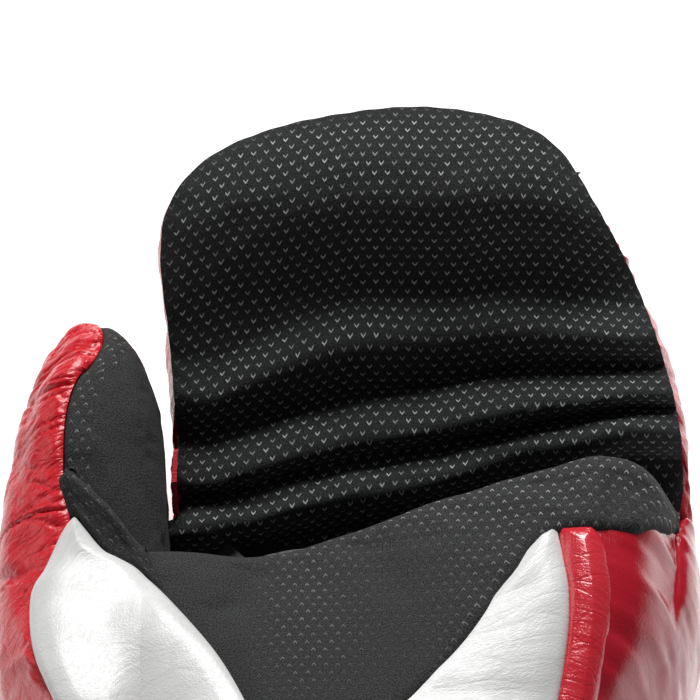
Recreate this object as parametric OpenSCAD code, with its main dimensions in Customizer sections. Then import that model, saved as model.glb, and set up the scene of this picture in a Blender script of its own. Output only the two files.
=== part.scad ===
// Left-hand training glove with a hook-and-loop cuff, lying on its padded back with the palm up.
// +X runs from the thumb to the little finger, +Y from the cuff to the fingertips, +Z is up.
// The origin is on the resting face, under the middle of the glove's length and width.

/* [Hand section] */
// Width across the knuckles
hand_w = 127; // [110:1:150]
// Height from the resting face to the palm, at the palm crease
hand_h = 76; // [66:1:90]
// Length from the wrist seam to the palm hinge
hand_len = 93; // [80:1:110]
// Width at the wrist seam
wrist_w = 108; // [92:1:120]
// Height of the section at the wrist seam
wrist_h = 66; // [56:1:76]
// How far the knuckles sit towards the little finger, off the cuff's centre line
hand_shift = 19; // [10:1:26]
// Depth of the hinge line under the palm
crease_depth = 24; // [20:1:28]
// Slant of the palm crease, further forward on the little-finger side, in degrees
crease_slant = 8; // [0:1:12]

/* [Finger section] */
// Length of the inner face, from the crease to the fingertips
finger_len = 97; // [80:1:115]
// Rise of the inner face from the palm plane, in degrees
finger_tilt = 45; // [38:1:52]
// Thickness from the inner face to the knuckles
knuckle_t = 97; // [84:1:112]
// Closing travel of the finger section, in degrees
finger_travel = 25; // [15:1:28]
// Depth of the finger pocket under the inner face
finger_pad = 14; // [11:1:18]
// Height of the finger pocket
pocket_h = 24; // [20:1:28]

/* [Thumb] */
// Length of the thumb in front of its hinge
thumb_len = 67; // [56:1:80]
// Width of the thumb
thumb_w = 42; // [36:1:48]
// Thickness of the thumb, from its palm side to its back
thumb_h = 46; // [40:1:52]
// Rise of the thumb from the palm plane, in degrees
thumb_tilt = 25; // [18:1:32]
// Radius of the thumb pocket
thumb_pocket_r = 12; // [10:0.5:14]

/* [Layers] */
// Thickness of the vinyl shell
shell_t = 1.8; // [1.2:0.1:2.6]
// Thickness of the knitted mesh panels
mesh_t = 1.6; // [1.2:0.1:2.4]
// Thickness of the inner lining
lining_t = 1.2; // [0.8:0.1:1.8]
// Padding under the palm mesh
palm_pad = 11; // [8:1:14]
// Height of the hand pocket
hand_pocket_h = 26; // [22:1:30]
// Padding at the sides of the hand pocket
side_pad = 13; // [10:1:18]
// Length of the firm bar behind the palm crease, which the fingers close on
grip_len = 16; // [12:1:20]

/* [Cuff] */
// Length of the cuff behind the wrist seam
cuff_len = 68; // [56:1:84]
// Width of the cuff at its mouth
mouth_w = 118; // [104:1:130]
// Height of the cuff at its mouth
mouth_h = 74; // [64:1:82]
// Thickness of the cuff's padding
cuff_pad = 7; // [5:0.5:9]
// Height of the rolled binding at the mouth
binding_t = 4; // [3:0.5:5]

/* [Closure] */
// Width of the closing strap
strap_w = 50; // [40:1:58]
// Thickness of the strap
strap_t = 2.4; // [1.8:0.1:3]
// Thickness of each half of the hook-and-loop pair
hook_t = 1.2; // [1:0.1:1.6]
// Length of the blank badge on the strap
badge_len = 26; // [18:1:30]

/* [Clearances] */
// Gap between layers that lie on each other
layer_gap = 0.3; // [0.2:0.1:0.5]
// Gap between pieces that turn past each other
turn_gap = 0.8; // [0.6:0.1:1.2]

/* [Hidden] */

across = 24;                     // steps round a whole ring
half_across = across / 2;
split_tilt = 10;                 // lean of the hinge plane towards the fingertips, degrees
roundness = 2.7;                 // power of the rounded-box rings
axis_y = 18;
axis_z = hand_h - crease_depth;
wrist_y = axis_y - hand_len;
mouth_y = wrist_y - cuff_len;
wrist_lift = 3;                  // the wrist stands this far off the back's lowest line
rest_cut = 1.2;                  // depth of the round back that is pressed flat where it rests
function on_rest(z, o) = max(z, rest_cut + o);
face_drop = 8;                   // the inner face starts this far under the palm
lip_len = (crease_depth - face_drop) / cos(split_tilt);   // hinge line to inner face, along the split
thumb_gap = 0.5;                 // side gap between the thumb and the hand
skin_t = shell_t + layer_gap;    // a cover and the gap under it
palm_skin_t = mesh_t + layer_gap;

function mix(a, b, k) = a + (b - a) * k;
function ease(k) = k * k * (3 - 2 * k);
function signed_pow(v, p) = sign(v) * pow(abs(v), p);
function corner(t) = [signed_pow(cos(t), 2 / roundness), signed_pow(sin(t), 2 / roundness)];
function steps(a, b, n) = [for (i = [0:n]) mix(a, b, i / n)];
function dome(k, p) = pow(max(0, 1 - pow(max(0, k), p)), 1 / p);
function flat(rows) = [for (r = rows) each r];
function middle(pts) = [for (k = [0:2]) ([for (p = pts) p[k]] * [for (p = pts) 1]) / len(pts)];

// ---- solids from grids of points -------------------------------------------------------------

// Solid between an outer and an inner grid. wrap joins the last column to the first,
// cap closes the last row of both grids, as at the end of a pocket.
module layer(outer, inner, wrap = false, cap = false) {
    nu = len(outer);
    nt = len(outer[0]);
    n = nu * nt;
    js = [0:(wrap ? nt - 1 : nt - 2)];
    pts = concat(flat(outer), flat(inner), [middle(outer[nu - 1])], [middle(inner[nu - 1])]);
    function at(i, j) = i * nt + (j % nt);
    sides = [for (i = [0:nu - 2]) for (j = js)
        let (a = at(i, j), b = at(i, j + 1), c = at(i + 1, j + 1), d = at(i + 1, j))
        each [[a, b, c], [a, c, d], [n + a, n + c, n + b], [n + a, n + d, n + c]]];
    first = [for (j = js) let (a = at(0, j), b = at(0, j + 1))
        each [[b, a, n + a], [b, n + a, n + b]]];
    last = [for (j = js) let (d = at(nu - 1, j), c = at(nu - 1, j + 1))
        each (cap ? [[d, c, 2 * n], [n + c, n + d, 2 * n + 1]] : [[d, c, n + c], [d, n + c, n + d]])];
    edges = wrap ? [] : [for (i = [0:nu - 2])
        let (a = at(i, 0), d = at(i + 1, 0), b = at(i, nt - 1), c = at(i + 1, nt - 1))
        each [[a, d, n + d], [a, n + d, n + a], [b, n + b, n + c], [b, n + c, c]]];
    polyhedron(points = cap ? pts : [for (k = [0:2 * n - 1]) pts[k]],
        faces = concat(sides, first, last, edges), convexity = 8);
}

// Closed solid through a list of rings.
module loft(rings) {
    nu = len(rings);
    nt = len(rings[0]);
    n = nu * nt;
    pts = concat(flat(rings), [middle(rings[0])], [middle(rings[nu - 1])]);
    function at(i, j) = i * nt + (j % nt);
    sides = [for (i = [0:nu - 2]) for (j = [0:nt - 1])
        let (a = at(i, j), b = at(i, j + 1), c = at(i + 1, j + 1), d = at(i + 1, j))
        each [[a, b, c], [a, c, d]]];
    ends = [for (j = [0:nt - 1])
        each [[at(0, j + 1), at(0, j), n], [at(nu - 1, j), at(nu - 1, j + 1), n + 1]]];
    polyhedron(points = pts, faces = concat(sides, ends), convexity = 8);
}

// ---- surfaces: each gives the point at a station, a ring angle and a depth under the surface ----

// Hand section: rounded-box rings from the wrist seam to the hinge surface.
function hand_half_w(u) = mix(wrist_w, hand_w, ease(min(1, u * 1.35))) / 2;
function hand_half_h(u) = mix(wrist_h, hand_h, ease(u)) / 2;
function hand_mid_x(u) = mix(0, hand_shift, ease(min(1, u * 1.2)));
function hand_mid_z(u) = hand_half_h(u) + mix(wrist_lift, 0, ease(u));
function hand_end(z) = (z > axis_z
    ? axis_y - (z - axis_z) * tan(finger_travel)
    : axis_y - (axis_z - z) * tan(split_tilt)) - turn_gap;
function slant(x) = (x - hand_shift) * tan(crease_slant);
function hand_at(u, t, o) = let (c = corner(t),
    x = hand_mid_x(u) + (hand_half_w(u) - o) * c[0],
    z = on_rest(hand_mid_z(u) + (hand_half_h(u) - o) * c[1], o))
    [x, mix(wrist_y, hand_end(z) + slant(x), u), z];

// Hand pocket: as wide as the cuff's inside at the wrist, then palm_pad under the palm.
cuff_wall = skin_t + cuff_pad + layer_gap + lining_t;
function pocket_at(u, t, o) = let (c = corner(t), k = ease(min(1, u / 0.35)),
    top = hand_mid_z(u) + hand_half_h(u) - palm_skin_t - palm_pad - lining_t - 2 * layer_gap,
    half_w = mix(wrist_w / 2 - cuff_wall, hand_half_w(u) - side_pad - skin_t, k),
    half_h = mix(wrist_h / 2 - cuff_wall, hand_pocket_h / 2, k),
    x = hand_mid_x(u) + (half_w - o) * c[0],
    z = mix(hand_mid_z(0), top - hand_pocket_h / 2, k) + (half_h - o) * c[1])
    [x, mix(wrist_y, hand_end(z) + slant(x), u), z];

// Finger section: sections fan out from the hinge plane to the inner face's normal.
function inner_face(s) = let (lip = [axis_y + lip_len * sin(split_tilt), axis_z + lip_len * cos(split_tilt)])
    lip + s * [cos(finger_tilt), sin(finger_tilt)];
turn_len = finger_len * 0.46;    // stretch of the inner face over which the sections fan out
function finger_slant(s, x) = slant(x) * (1 - ease(min(1, s / (finger_len * 0.8))));
function section_lean(s) = mix(90 - split_tilt, 90 + finger_tilt, min(1, s / turn_len));
// Down to the resting face near the hinge and knuckle_t beyond it, with a smooth change between
function section_t(s) = let (to_floor = inner_face(s)[1] / sin(section_lean(s)))
    pow(pow(knuckle_t, -14) + pow(to_floor, -14), -1 / 14);
dome_start = 0.4;
function tip_shape(s, o) = dome((s / (finger_len - o) - dome_start) / (1 - dome_start), 2.8);
function finger_frame(s, o, t_in, t_all) = let (
    lean = section_lean(s), up = [cos(lean), sin(lean)],
    shape = tip_shape(s, o), face = inner_face(s) - (t_in + (1 - shape) * finger_pad) * up)
    [face - up * t_all * shape / 2, up, shape];
function finger_at(s, t, o) = let (c = corner(t),
    f = finger_frame(s, o, o, section_t(s) - 2 * o),
    half = (section_t(s) / 2 - o) * f[2],
    yz = f[0] + f[1] * half * c[1],
    x = hand_shift + (hand_w / 2 - o) * f[2] * c[0])
    [x, yz[0] + finger_slant(s, x), on_rest(yz[1], o)];
finger_pocket_len = finger_len - finger_pad - 4;
function finger_pocket_at(s, t, o) = let (c = corner(t), lean = section_lean(s), up = [cos(lean), sin(lean)],
    k = dome((s / (finger_pocket_len - o) - 0.6) / 0.4, 2.2),
    depth = mix(face_drop - 1, finger_pad, min(1, s / turn_len)),
    mid = inner_face(s) - (depth + pocket_h / 2) * up,
    yz = mid + up * (pocket_h / 2 - o) * k * c[1],
    x = hand_shift + (hand_w / 2 - side_pad - skin_t - o) * mix(1, k, 0.5) * c[0])
    [x, yz[0] + finger_slant(s, x), yz[1]];

// Thumb: rings along a straight line from the hinge plane to the tip.
thumb_right = hand_shift - hand_w / 2 - 2 * thumb_gap - 1.2;
thumb_x = thumb_right - thumb_w / 2;
thumb_axis = [axis_y - 18, hand_h - 5];
thumb_dir = [cos(thumb_tilt), sin(thumb_tilt)];
thumb_up = [-sin(thumb_tilt), cos(thumb_tilt)];
thumb_root = thumb_axis - thumb_up * thumb_h / 2;
function thumb_at(k, t, o) = let (c = corner(t), s = turn_gap + k * (thumb_len - turn_gap - o),
    d = dome((k - 0.45) / 0.55, 2.2),
    yz = thumb_root + thumb_dir * s + thumb_up * (thumb_h / 2 * mix(1, 0.9, k) * d - o * mix(1, 0, pow(k, 12))) * c[1])
    [thumb_x + (thumb_w / 2 * mix(1, 0.84, k) * d - o * mix(1, 0, pow(k, 12))) * c[0], yz[0], yz[1]];
thumb_stations = [0, 0.25, 0.45, 0.6, 0.72, 0.82, 0.9, 0.955, 0.99];
function thumb_pocket_at(k, t, o) = let (s = turn_gap + k * (thumb_len - 16 - turn_gap),
    r = thumb_pocket_r * mix(1, 0.85, k) * dome((k - 0.6) / 0.4, 2) - o,
    yz = thumb_root + thumb_dir * (s - (k > 0.9 ? o : 0)) + thumb_up * max(0.4, r) * sin(t))
    [thumb_x + max(0.4, r) * cos(t), yz[0], yz[1]];

// Thumb base: sections that fan from an upright plane by the wrist to the thumb's hinge plane.
base_start_y = wrist_y + 10;
function base_at(u, t, o) = let (c = corner(t),
    top = mix([base_start_y, wrist_h - 3], thumb_axis, u),
    low = mix([base_start_y, 14], thumb_axis - thumb_up * thumb_h, u),
    mid = (top + low) / 2, up = (top - low) / norm(top - low),
    yz = mid + up * (norm(top - low) / 2 - o) * c[1],
    hand_u = min(1, max(0, (yz[0] - wrist_y) / hand_len)),
    limit = min(hand_mid_x(hand_u) - hand_half_w(hand_u), hand_mid_x(1) - hand_half_w(1)) - thumb_gap,
    left = mix(-wrist_w / 2 - 9, thumb_x - thumb_w / 2, ease(min(1, u * 1.5))))
    [mix(left + o, min(limit, thumb_right) - o, (1 + c[0]) / 2), yz[0], yz[1]];

// Cuff: rings from the wrist seam back to the mouth.
function cuff_half_w(v) = mix(wrist_w, mouth_w, ease(v)) / 2;
function cuff_half_h(v) = mix(wrist_h, mouth_h, ease(v)) / 2;
function cuff_mid_z(v) = mix(hand_mid_z(0), mouth_h / 2 + rest_cut + 1, ease(v));
function cuff_at(v, t, o) = let (c = corner(t))
    [(cuff_half_w(v) - o) * c[0], mix(wrist_y - layer_gap, mouth_y, v), cuff_mid_z(v) + (cuff_half_h(v) - o) * c[1]];
strap_y = wrist_y - layer_gap - (cuff_len - strap_w) / 2;
function cuff_v(y) = (wrist_y - layer_gap - y) / (wrist_y - layer_gap - mouth_y);

// ---- helpers that lay a patch on a surface ------------------------------------------------------

lining_out = -lining_t;              // depth of a lining's far side, counted from its pocket
foam_in = -lining_t - layer_gap;     // depth of the padding's inner side, counted from the pocket
split_deg = 0.12;                    // half of the slit between two foams at a ring's side
seam_deg = 0.6;                      // gap between covers that meet at a seam
function ring_steps(n) = [for (j = [0:n - 1]) 360 * j / n];

// ---- hand ------------------------------------------------------------------------------------

hand_rows = steps(0, 1, 8);
// Ring angles of the seams on the palm side, from the little-finger side round to the thumb side
function strip_from(u) = mix(28, 44, u);
function strip_to(u) = mix(48, 57, u);
function wing_to(u) = mix(97, 62, u);
cover_to = 150;

module hand_patch(rows, n, from, to, deep_from, deep_to) {
    layer([for (u = rows) [for (t = steps(from(u), to(u), n)) hand_at(u, t, deep_from)]],
        [for (u = rows) [for (t = steps(from(u), to(u), n)) hand_at(u, t, deep_to)]]);
}

// Way from the hand pocket into the thumb
way_in = [hand_mid_x(0.42) - hand_half_w(0.42) + side_pad + skin_t + thumb_pocket_r * 0.8,
    wrist_y + hand_len * 0.42, pocket_at(0.42, 90, hand_pocket_h / 2)[2]];
way_turn = [thumb_x + 3, thumb_root[0] - 15, thumb_root[1] - 4];
way_out = [thumb_x, thumb_root[0] + 1, thumb_root[1] + 0.5];
module thumb_way(r) {
    $fn = 16;
    hull() { translate(way_in) sphere(r); translate(way_turn) sphere(r); }
    hull() { translate(way_turn) sphere(r); translate(way_out) sphere(r); }
}

module hand_back_shell() color([0.42, 0.02, 0.05]) difference() {
    hand_patch(hand_rows, 20, function(u) cover_to + seam_deg, function(u) 360 + strip_from(u) - seam_deg,
        0, shell_t);
    thumb_way(thumb_pocket_r);
}

module hand_back_foam() color([0.25, 0.25, 0.27]) difference() {
    layer([for (u = hand_rows) [for (t = steps(180 + split_deg, 360 - split_deg, half_across)) hand_at(u, t, skin_t)]],
        [for (u = hand_rows) [for (t = steps(180 + split_deg, 360 - split_deg, half_across)) pocket_at(u, t, foam_in)]]);
    thumb_way(thumb_pocket_r);
}

bar_from = 1 - grip_len / hand_len;  // station where the grip bar begins
module palm_layer(rows) {
    layer([for (u = rows) [for (t = steps(split_deg, 180 - split_deg, half_across)) hand_at(u, t, skin_t)]],
        [for (u = rows) [for (t = steps(split_deg, 180 - split_deg, half_across)) pocket_at(u, t, foam_in)]]);
}

module palm_foam() color([0.3, 0.3, 0.32]) difference() {
    palm_layer(steps(0, bar_from - layer_gap / hand_len, 7));
    thumb_way(thumb_pocket_r);
}

module grip_bar() color([0.2, 0.2, 0.22]) palm_layer(steps(bar_from, 1, 2));

module palm_panel() color([0.05, 0.05, 0.055])
    hand_patch(hand_rows, 10, function(u) wing_to(u) + seam_deg, function(u) cover_to - seam_deg, 0, mesh_t);

module wrist_wing_right() color([0.9, 0.9, 0.91])
    hand_patch(hand_rows, 5, function(u) strip_to(u) + seam_deg, function(u) wing_to(u) - seam_deg, 0, mesh_t);

module side_strip() color([0.6, 0.05, 0.08])
    hand_patch(hand_rows, 3, function(u) strip_from(u) + seam_deg, function(u) strip_to(u) - seam_deg, 0, mesh_t);

module hand_lining() color([0.12, 0.12, 0.13]) difference() {
    layer([for (u = hand_rows) [for (t = ring_steps(across)) pocket_at(u, t, lining_out)]],
        [for (u = hand_rows) [for (t = ring_steps(across)) pocket_at(u, t, 0)]], wrap = true);
    thumb_way(thumb_pocket_r);
}

// Mesh turned down into the crease, in front of the grip bar
function front_at(k, t, ahead) = let (p = mix(hand_at(1, t, skin_t), pocket_at(1, t, foam_in), k))
    [p[0], hand_end(p[2]) + slant(p[0]) + ahead, p[2]];
module crease_gusset() color([0.06, 0.06, 0.065])
    layer([for (k = [0, 1]) [for (t = steps(30, 150, 10)) front_at(k, t, layer_gap + 1)]],
        [for (k = [0, 1]) [for (t = steps(30, 150, 10)) front_at(k, t, layer_gap)]]);

// ---- finger section ----------------------------------------------------------------------------

finger_rows = [0, 0.13, 0.26, 0.4, 0.54, 0.67, 0.79, 0.88, 0.94, 0.975, 0.993, 0.999, 0.99998];
function finger_row(k, o) = k * (finger_len - o);

module finger_patch(n, from, to, deep_from, deep_to) {
    layer([for (k = finger_rows) [for (t = steps(from, to, n)) finger_at(finger_row(k, deep_from), t, deep_from)]],
        [for (k = finger_rows) [for (t = steps(from, to, n)) finger_at(finger_row(k, deep_to), t, deep_to)]]);
}

panel_edge = 30;                     // ring angle of the mesh panel's edge seam

module knuckle_shell() color([0.42, 0.02, 0.05])
    finger_patch(20, 180 - panel_edge + seam_deg, 360 + panel_edge - seam_deg, 0, shell_t);

module finger_panel() color([0.05, 0.05, 0.055])
    finger_patch(12, panel_edge + seam_deg, 180 - panel_edge - seam_deg, 0, mesh_t);

// Half of the padding round the finger pocket, closed in front of the pocket's end
module finger_half(from, to) {
    ts = steps(from, to, half_across);
    layer([for (k = finger_rows) [for (t = ts) finger_at(finger_row(k, skin_t), t, skin_t)]],
        [for (k = finger_rows) [for (t = ts) finger_pocket_at(k * (finger_pocket_len - foam_in), t, foam_in)]]);
}

module knuckle_foam() color([0.25, 0.25, 0.27]) finger_half(180 + split_deg, 360 - split_deg);

module finger_pad_foam() color([0.3, 0.3, 0.32]) finger_half(split_deg, 180 - split_deg);

module finger_lining() color([0.12, 0.12, 0.13]) {
    ts = ring_steps(across);
    layer([for (k = finger_rows) [for (t = ts) finger_pocket_at(k * (finger_pocket_len - lining_out), t, lining_out)]],
        [for (k = finger_rows) [for (t = ts) finger_pocket_at(k * finger_pocket_len, t, 0)]],
        wrap = true, cap = true);
}

// ---- thumb -------------------------------------------------------------------------------------

thumb_shell_from = 112;              // ring angle of the seam between the thumb's palm side and its outside
thumb_shell_to = 322;

module thumb_patch(n, from, to, deep_from, deep_to) {
    layer([for (k = thumb_stations) [for (t = steps(from, to, n)) thumb_at(k, t, deep_from)]],
        [for (k = thumb_stations) [for (t = steps(from, to, n)) thumb_at(k, t, deep_to)]]);
}

module thumb_shell() color([0.45, 0.03, 0.06])
    thumb_patch(14, thumb_shell_from + 2 * seam_deg, thumb_shell_to - 2 * seam_deg, 0, shell_t);

module thumb_inner_panel() color([0.06, 0.06, 0.065])
    thumb_patch(10, thumb_shell_to - 360, thumb_shell_from, 0, mesh_t);

module thumb_foam() color([0.28, 0.28, 0.3])
    layer([for (k = thumb_stations) [for (t = ring_steps(across)) thumb_at(k, t, skin_t)]],
        [for (k = thumb_stations) [for (t = ring_steps(across)) thumb_pocket_at(k, t, foam_in)]],
        wrap = true, cap = true);

module thumb_lining() color([0.12, 0.12, 0.13]) {
    rows = [0, 0.3, 0.55, 0.75, 0.88, 0.95];
    layer([for (k = rows) [for (t = ring_steps(16)) thumb_pocket_at(k, t, lining_out)]],
        [for (k = rows) [for (t = ring_steps(16)) thumb_pocket_at(k, t, 0)]], wrap = true, cap = true);
}

// Strap of vinyl at the thumb's side that ties it to the finger section
tether_len = 18;
tether_h = 11;
module thumb_tether() color([0.55, 0.05, 0.08])
    translate([thumb_right + 0.3, thumb_root[0], thumb_root[1]]) rotate([thumb_tilt, 0, 0])
        translate([0, 0.4 * thumb_len - tether_len / 2, -tether_h / 4]) cube([shell_t - 0.6, tether_len, tether_h]);

base_rows = steps(0, 1, 7);

module base_patch(n, from, to, deep_from, deep_to) {
    layer([for (u = base_rows) [for (t = steps(from, to, n)) base_at(u, t, deep_from)]],
        [for (u = base_rows) [for (t = steps(from, to, n)) base_at(u, t, deep_to)]]);
}

web_to = 62;                         // ring angle where the thumb web ends and the left wing begins

module thumb_base_shell() color([0.45, 0.03, 0.06])
    base_patch(14, thumb_shell_from + seam_deg, 320, 0, shell_t);

module thumb_base_foam() color([0.28, 0.28, 0.3]) difference() {
    loft([for (u = base_rows) [for (t = ring_steps(across)) base_at(u, t, skin_t)]]);
    thumb_way(thumb_pocket_r);
}

module wrist_wing_left() color([0.9, 0.9, 0.91])
    base_patch(4, web_to + seam_deg, thumb_shell_from - seam_deg, 0, mesh_t);

module thumb_web() color([0.06, 0.06, 0.065]) base_patch(5, 8, web_to - seam_deg, 0, mesh_t);

// ---- cuff --------------------------------------------------------------------------------------

cuff_rows = steps(0, 1, 4);
tongue_from = 73;
tongue_to = 107;

module cuff_patch(rows, n, from, to, deep_from, deep_to) {
    // the rows run towards -Y, so the ring runs the other way round
    layer([for (v = rows) [for (t = steps(to, from, n)) cuff_at(v, t, deep_from)]],
        [for (v = rows) [for (t = steps(to, from, n)) cuff_at(v, t, deep_to)]]);
}

module cuff_tube(rows, deep_from, deep_to) {
    layer([for (v = rows) [for (t = ring_steps(across)) cuff_at(v, -t, deep_from)]],
        [for (v = rows) [for (t = ring_steps(across)) cuff_at(v, -t, deep_to)]], wrap = true);
}

module cuff_shell() color([0.42, 0.02, 0.05])
    cuff_patch(cuff_rows, 24, tongue_to + seam_deg, 360 + tongue_from - seam_deg, 0, shell_t);

module cuff_tongue() color([0.06, 0.06, 0.065])
    cuff_patch(cuff_rows, 5, tongue_from + seam_deg, tongue_to - seam_deg, 0, mesh_t);

module cuff_foam() color([0.3, 0.3, 0.32]) cuff_tube(cuff_rows, skin_t, skin_t + cuff_pad);

module cuff_lining() color([0.12, 0.12, 0.13])
    cuff_tube(cuff_rows, skin_t + cuff_pad + layer_gap, cuff_wall);

// Rolled tape over the edges of shell, padding and lining at the mouth
function binding_at(k, t, o) = let (p = cuff_at(1, -t, o)) [p[0], mouth_y - layer_gap - k * binding_t, p[2]];
module cuff_binding() color([0.04, 0.04, 0.045])
    layer([for (k = [0, 0.5, 0.85, 1]) [for (t = ring_steps(across)) binding_at(k, t, 3 * k * k - 0.5)]],
        [for (k = [0, 0.5, 0.85, 1]) [for (t = ring_steps(across)) binding_at(k, t, cuff_wall + 0.5 - 3 * k * k)]],
        wrap = true);

// ---- closure -----------------------------------------------------------------------------------

strap_rows = steps(cuff_v(strap_y), cuff_v(strap_y - strap_w), 3);
loop_in = layer_gap;
loop_out = loop_in + hook_t;
hook_in = loop_out + layer_gap;
hook_out = hook_in + hook_t;
strap_in = hook_out + layer_gap;
strap_out = strap_in + strap_t;
badge_in = strap_out + layer_gap;
anchor_from = -14;
root_t = 10;                         // ring angle of the strap's sewn root
fold_t = 100;                        // ring angle where the strap's tip starts to peel
tip_t = 148;
gap_deg = 0.35;                      // half of the gap between two strap lengths

module strap_anchor() color([0.5, 0.03, 0.06])
    cuff_patch(strap_rows, 4, anchor_from, root_t - gap_deg, -strap_out, -loop_in);

module strap_base() color([0.5, 0.03, 0.06])
    cuff_patch(strap_rows, 12, root_t + gap_deg, fold_t - 2 * gap_deg, -strap_out, -strap_in);

module strap_hook_base() color([0.08, 0.08, 0.08])
    cuff_patch(strap_rows, 5, fold_t - 40, fold_t - 3, -hook_out, -hook_in);

module strap_tip() color([0.5, 0.03, 0.06])
    cuff_patch(strap_rows, 7, fold_t + 2 * gap_deg, tip_t, -strap_out, -strap_in);

module strap_hook_tip() color([0.08, 0.08, 0.08])
    cuff_patch(strap_rows, 6, fold_t + 3, tip_t - 3, -hook_out, -hook_in);

module loop_patch() color([0.1, 0.1, 0.1])
    cuff_patch(strap_rows, 7, fold_t - 42, tip_t, -loop_out, -loop_in);

module strap_badge() color([0.75, 0.75, 0.76]) {
    y_mid = strap_y - strap_w / 2;
    rows = steps(cuff_v(y_mid + badge_len / 2), cuff_v(y_mid - badge_len / 2), 2);
    cuff_patch(rows, 4, fold_t + 12, fold_t + 30, -badge_in - 1.2, -badge_in);
}

// ---- placing -----------------------------------------------------------------------------------

front_y = max([for (k = finger_rows) finger_at(finger_row(k, 0), 270, 0)[1]]);
mid_x = (hand_shift + hand_w / 2 + thumb_x - thumb_w / 2) / 2;
mid_y = (front_y + mouth_y - layer_gap - binding_t) / 2;
module placed() { translate([-mid_x, -mid_y, -rest_cut]) children(); }

placed() hand_back_shell();
placed() hand_back_foam();
placed() palm_foam();
placed() palm_panel();
placed() hand_lining();
placed() grip_bar();
placed() crease_gusset();
placed() wrist_wing_right();
placed() side_strip();
placed() knuckle_shell();
placed() knuckle_foam();
placed() finger_pad_foam();
placed() finger_panel();
placed() finger_lining();
placed() thumb_base_shell();
placed() thumb_base_foam();
placed() wrist_wing_left();
placed() thumb_web();
placed() thumb_shell();
placed() thumb_foam();
placed() thumb_inner_panel();
placed() thumb_lining();
placed() thumb_tether();
placed() cuff_shell();
placed() cuff_foam();
placed() cuff_lining();
placed() cuff_tongue();
placed() cuff_binding();
placed() loop_patch();
placed() strap_anchor();
placed() strap_base();
placed() strap_hook_base();
placed() strap_tip();
placed() strap_hook_tip();
placed() strap_badge();
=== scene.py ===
"""Left-hand training glove lying on its padded back, palm up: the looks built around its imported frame.

Every surface is a numpy function of two parameters, worked out in millimetres and turned into metres when it
becomes a mesh. +X runs from the thumb to the little finger, +Y from the cuff to the fingertips, +Z is up.
"""

from __future__ import annotations

import logging
import math
from dataclasses import dataclass, field
from enum import Enum
from typing import Sequence

import bpy
import numpy as np
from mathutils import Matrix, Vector
from numpy.typing import ArrayLike, NDArray

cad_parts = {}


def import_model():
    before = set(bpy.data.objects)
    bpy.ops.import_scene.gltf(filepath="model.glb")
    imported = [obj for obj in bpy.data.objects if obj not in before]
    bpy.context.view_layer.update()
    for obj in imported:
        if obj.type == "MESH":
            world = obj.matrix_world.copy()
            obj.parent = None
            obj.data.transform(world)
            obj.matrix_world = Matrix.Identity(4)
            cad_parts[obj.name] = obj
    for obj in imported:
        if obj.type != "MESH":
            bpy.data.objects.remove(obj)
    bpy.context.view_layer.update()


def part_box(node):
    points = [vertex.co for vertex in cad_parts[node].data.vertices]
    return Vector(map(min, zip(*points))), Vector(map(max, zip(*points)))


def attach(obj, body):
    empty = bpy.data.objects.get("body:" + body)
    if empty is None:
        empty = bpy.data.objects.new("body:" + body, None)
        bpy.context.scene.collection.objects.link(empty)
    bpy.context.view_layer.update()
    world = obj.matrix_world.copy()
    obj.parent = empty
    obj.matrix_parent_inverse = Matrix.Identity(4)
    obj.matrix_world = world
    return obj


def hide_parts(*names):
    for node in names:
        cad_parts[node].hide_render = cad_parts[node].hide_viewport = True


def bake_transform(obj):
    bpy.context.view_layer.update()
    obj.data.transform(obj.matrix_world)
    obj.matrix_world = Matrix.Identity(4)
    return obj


LOG = logging.getLogger("glove")
Grid = NDArray[np.float64]
MM = 0.001
DEG = math.pi / 180.0


# ---- small mathematics ---------------------------------------------------------------------------


def mix(a: ArrayLike, b: ArrayLike, k: ArrayLike) -> Grid:
    """Straight-line blend: a at k 0, b at k 1."""
    return np.asarray(a) + (np.asarray(b) - np.asarray(a)) * k


def ease(k: ArrayLike) -> Grid:
    """Smooth step: 3k squared less 2k cubed, with k held between 0 and 1."""
    c = np.clip(k, 0.0, 1.0)
    return c * c * (3.0 - 2.0 * c)


def dome(k: ArrayLike, power: float) -> Grid:
    """Quarter of a superellipse: (1 - k^power)^(1/power), 1 at k 0 and 0 at k 1."""
    return np.maximum(0.0, 1.0 - np.clip(k, 0.0, None) ** power) ** (1.0 / power)


def bump(x: ArrayLike, centre: ArrayLike, width: ArrayLike) -> Grid:
    """Bell curve of height 1: exp(-((x - centre) / width)^2)."""
    return np.exp(-(((np.asarray(x) - centre) / width) ** 2))


def profile(x: ArrayLike, at: Sequence[float], value: Sequence[float]) -> Grid:
    """Smooth curve through a few stations, as cubic Hermite pieces with central-difference slopes.

    Args:
        x: where the curve is read.
        at: the stations, rising.
        value: the curve's value at each station.

    Returns:
        The curve at x, held flat beyond the end stations.
    """
    xs, ys = np.asarray(at, float), np.asarray(value, float)
    slope = np.gradient(ys, xs)
    x = np.clip(np.asarray(x, float), xs[0], xs[-1])
    i = np.clip(np.searchsorted(xs, x, side="right") - 1, 0, len(xs) - 2)
    w = xs[i + 1] - xs[i]
    t = (x - xs[i]) / w
    t2, t3 = t * t, t * t * t
    return ((2 * t3 - 3 * t2 + 1) * ys[i] + (t3 - 2 * t2 + t) * w * slope[i]
            + (3 * t2 - 2 * t3) * ys[i + 1] + (t3 - t2) * w * slope[i + 1])


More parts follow.
